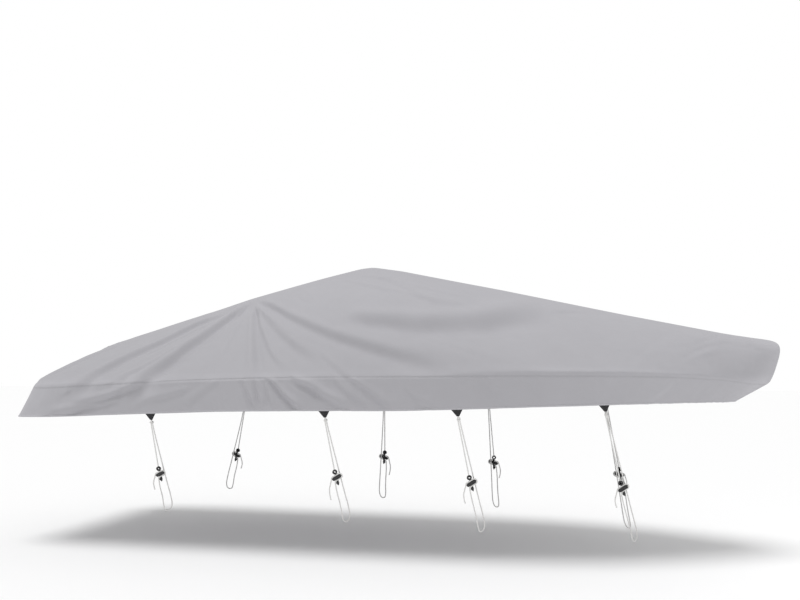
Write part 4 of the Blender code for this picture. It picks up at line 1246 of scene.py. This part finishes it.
def coated_cloth(name, stitched_line, rows_at):
    """Grey cloth with rows of stitches at some metres from its sewn line: X is the seam, Y the hem."""
    material, tree, shader = new_material(name, 0.82)
    cloth_map = tree.uv("cloth")
    sewn, fall = tree.parts(tree.uv("sewn")), tree.parts(tree.uv("fall"))
    aged = use_group(tree, weather, {"Colour": GREY, "Amount": 0.16})
    # Painted shade: the cloth is painted up to 3% darker within 8 mm of the seam, where its recess is shaded.
    painted_seam_shade = tree.between(tree.sum("ABSOLUTE", sewn["X"]), 0.002, 0.008, 0.97, 1.0)
    # Painted highlight: the thick folded hem band, up to 19 mm above the hem, is painted 7% lighter.
    hem = tree.between(sewn["Y"], 0.019, 0.022, 1.07, 1.0)
    # Painted shade: everything above the gunwale is painted 11% darker than the skirt, to even out the light
    # the roof gets.
    painted_roof_shade = tree.between(fall["X"], -0.09, 0.03, 0.89, 1.0)
    # Painted light and shade by height: up to 3% lighter near the peak and 4.5% darker low down.
    painted_height_shading = tree.between(fall["Y"], -1.15, -0.2, 0.955, 1.03)
    colour = tree.scaled(aged["Colour"], tree.product(painted_seam_shade, hem, painted_roof_shade, painted_height_shading))
    weave = use_group(tree, threads, {"Map": cloth_map, "Threads per metre": CLOTH_THREADS})["Height"]
    crumple = tree.noise(tree.add("TexCoord").outputs["Object"], 16.0, 4.0, 0.55)
    height = tree.sum("MULTIPLY_ADD", crumple, CRUMPLE_HEIGHT, tree.product(weave, THREAD_HEIGHT))
    along = tree.parts(cloth_map)["X"]
    for metres in rows_at:
        values = {"Distance": sewn[stitched_line], "Along": along, "Row": metres, "Length": STITCH_LENGTH}
        mask = use_group(tree, stitches, values)["Mask"]
        colour = tree.tint("MIX", tree.product(mask, 0.8), colour, THREAD_GREY)
        height = tree.sum("MULTIPLY_ADD", mask, STITCH_HEIGHT, height)
    tree.put(shader["Base Color"], colour)
    tree.put(shader["Normal"], tree.bump(height, 0.8))
    shader["Specular IOR Level"].default_value = 0.3
    shader["Sheen Weight"].default_value = 0.08
    shader["Sheen Roughness"].default_value = 0.6
    return material


roof_cloth = coated_cloth("roof_cloth", "X", SEAM_STITCHES)
skirt_cloth = coated_cloth("skirt_cloth", "Y", HEM_STITCHES)
print("roof and skirt cloth")

# %% [markdown]
# ### Rope, webbing and moulded plastic
# The rope is white braid: its strands are already relief, so the material only paints shade into the
# grooves and adds the fibres. The webbing is a coarse black weave, a little paler where its ribs are worn. The
# plastic is satin black, with a faintly uneven shine from its mould.

# %% Small materials
# The second rope colour is the tint of the painted shade in the braid's grooves.
ROPE_WHITE, GROOVE_SHADE_TINT = (0.86, 0.855, 0.84, 1), (0.52, 0.51, 0.49, 1)
WEBBING_BLACK, WORN_RIB = (0.020, 0.020, 0.022, 1), (0.045, 0.045, 0.05, 1)
PLASTIC_BLACK = (0.016, 0.016, 0.017, 1)
FLOOR_WHITE = (0.93, 0.93, 0.93, 1)
STRAND_HEIGHT, FIBRE_HEIGHT, RIB_HEIGHT, GRAIN_HEIGHT = 0.0006, 0.00006, 0.0005, 0.00012
WEBBING_RIBS = 480.0  # per metre

white_braid, tree, shader = new_material("white_braid", 0.72)
rope_parts = tree.parts(tree.uv("rope"))
turn = tree.product(rope_parts["X"], float(4 * np.pi))
wind = tree.product(rope_parts["Y"], float(2 * np.pi / BRAID_PITCH))
left = tree.sum("COSINE", tree.sum("ADD", turn, wind))
right = tree.sum("COSINE", tree.sum("SUBTRACT", turn, wind))
strands = tree.sum("MAXIMUM", tree.sum("ABSOLUTE", left), tree.sum("ABSOLUTE", right))
fibre = tree.sum("SINE", tree.product(tree.sum("ADD", turn, tree.product(wind, 2.0)), 6.0))
aged = use_group(tree, weather, {"Colour": ROPE_WHITE, "Amount": 0.25})
# Painted shade: the braid's grooves are darkened by up to 35% towards a darker tint, on top of the real relief.
painted_groove_shade = tree.between(strands, 0.62, 0.95, 0.35, 0.0)
tree.put(shader["Base Color"], tree.tint("MULTIPLY", painted_groove_shade, aged["Colour"], GROOVE_SHADE_TINT))
height = tree.sum("MULTIPLY_ADD", fibre, FIBRE_HEIGHT, tree.product(strands, STRAND_HEIGHT))
tree.put(shader["Normal"], tree.bump(height, 0.8))

black_webbing, tree, shader = new_material("black_webbing", 0.78)
webbing = {"Map": tree.uv("webbing"), "Threads per metre": WEBBING_RIBS}
rib_height = use_group(tree, threads, webbing)["Height"]
aged = use_group(tree, weather, {"Colour": WEBBING_BLACK, "Amount": 0.5})
tree.put(shader["Base Color"], tree.tint("MIX", tree.product(rib_height, 0.35), aged["Colour"], WORN_RIB))
tree.put(shader["Normal"], tree.bump(tree.product(rib_height, RIB_HEIGHT), 0.9))

moulded_black, tree, shader = new_material("moulded_black", 0.4)
where = tree.add("TexCoord").outputs["Object"]
aged = use_group(tree, weather, {"Colour": PLASTIC_BLACK, "Amount": 0.6})
tree.put(shader["Base Color"], aged["Colour"])
tree.put(shader["Roughness"], tree.between(tree.noise(where, 60.0, 3.0), 0.3, 0.7, 0.32, 0.5))
tree.put(shader["Normal"], tree.bump(tree.product(tree.noise(where, 1500.0, 2.0), GRAIN_HEIGHT), 0.5))

pale_floor, tree, shader = new_material("pale_floor", 0.9)
shader["Base Color"].default_value = FLOOR_WHITE
floor.data.materials.append(pale_floor)
print(len(bpy.data.materials), "materials")

# %% [markdown]
# ## Put it together
# Each piece gets its finish, rides on the cover's one body and stands for its solid.

# %% Dress every piece
dress(roof, roof_cloth, "roof_cloth", "top_panel")
dress(skirt, skirt_cloth, "skirt_cloth", "skirt", "skirt_transom")

for tie in ties:
    end = tie["end"]
    tab = dress(tabs[end], black_webbing, "webbing", f"tab_{end}")
    knot = dress(knots[end], white_braid, "rope", f"knot_{end}")
    cleat = dress(cleats[end], moulded_black, "black_plastic", f"tightener_{end}")
    for strand, far_end, held_by in (("long", "bare", [knot, cleat]), ("short", "object", [])):
        name = f"{strand}_strand_{end}"
        rope = dress(ropes[name], white_braid, "rope", f"rope_{strand}_{end}")
        round(length_of(paths[name]), 2)
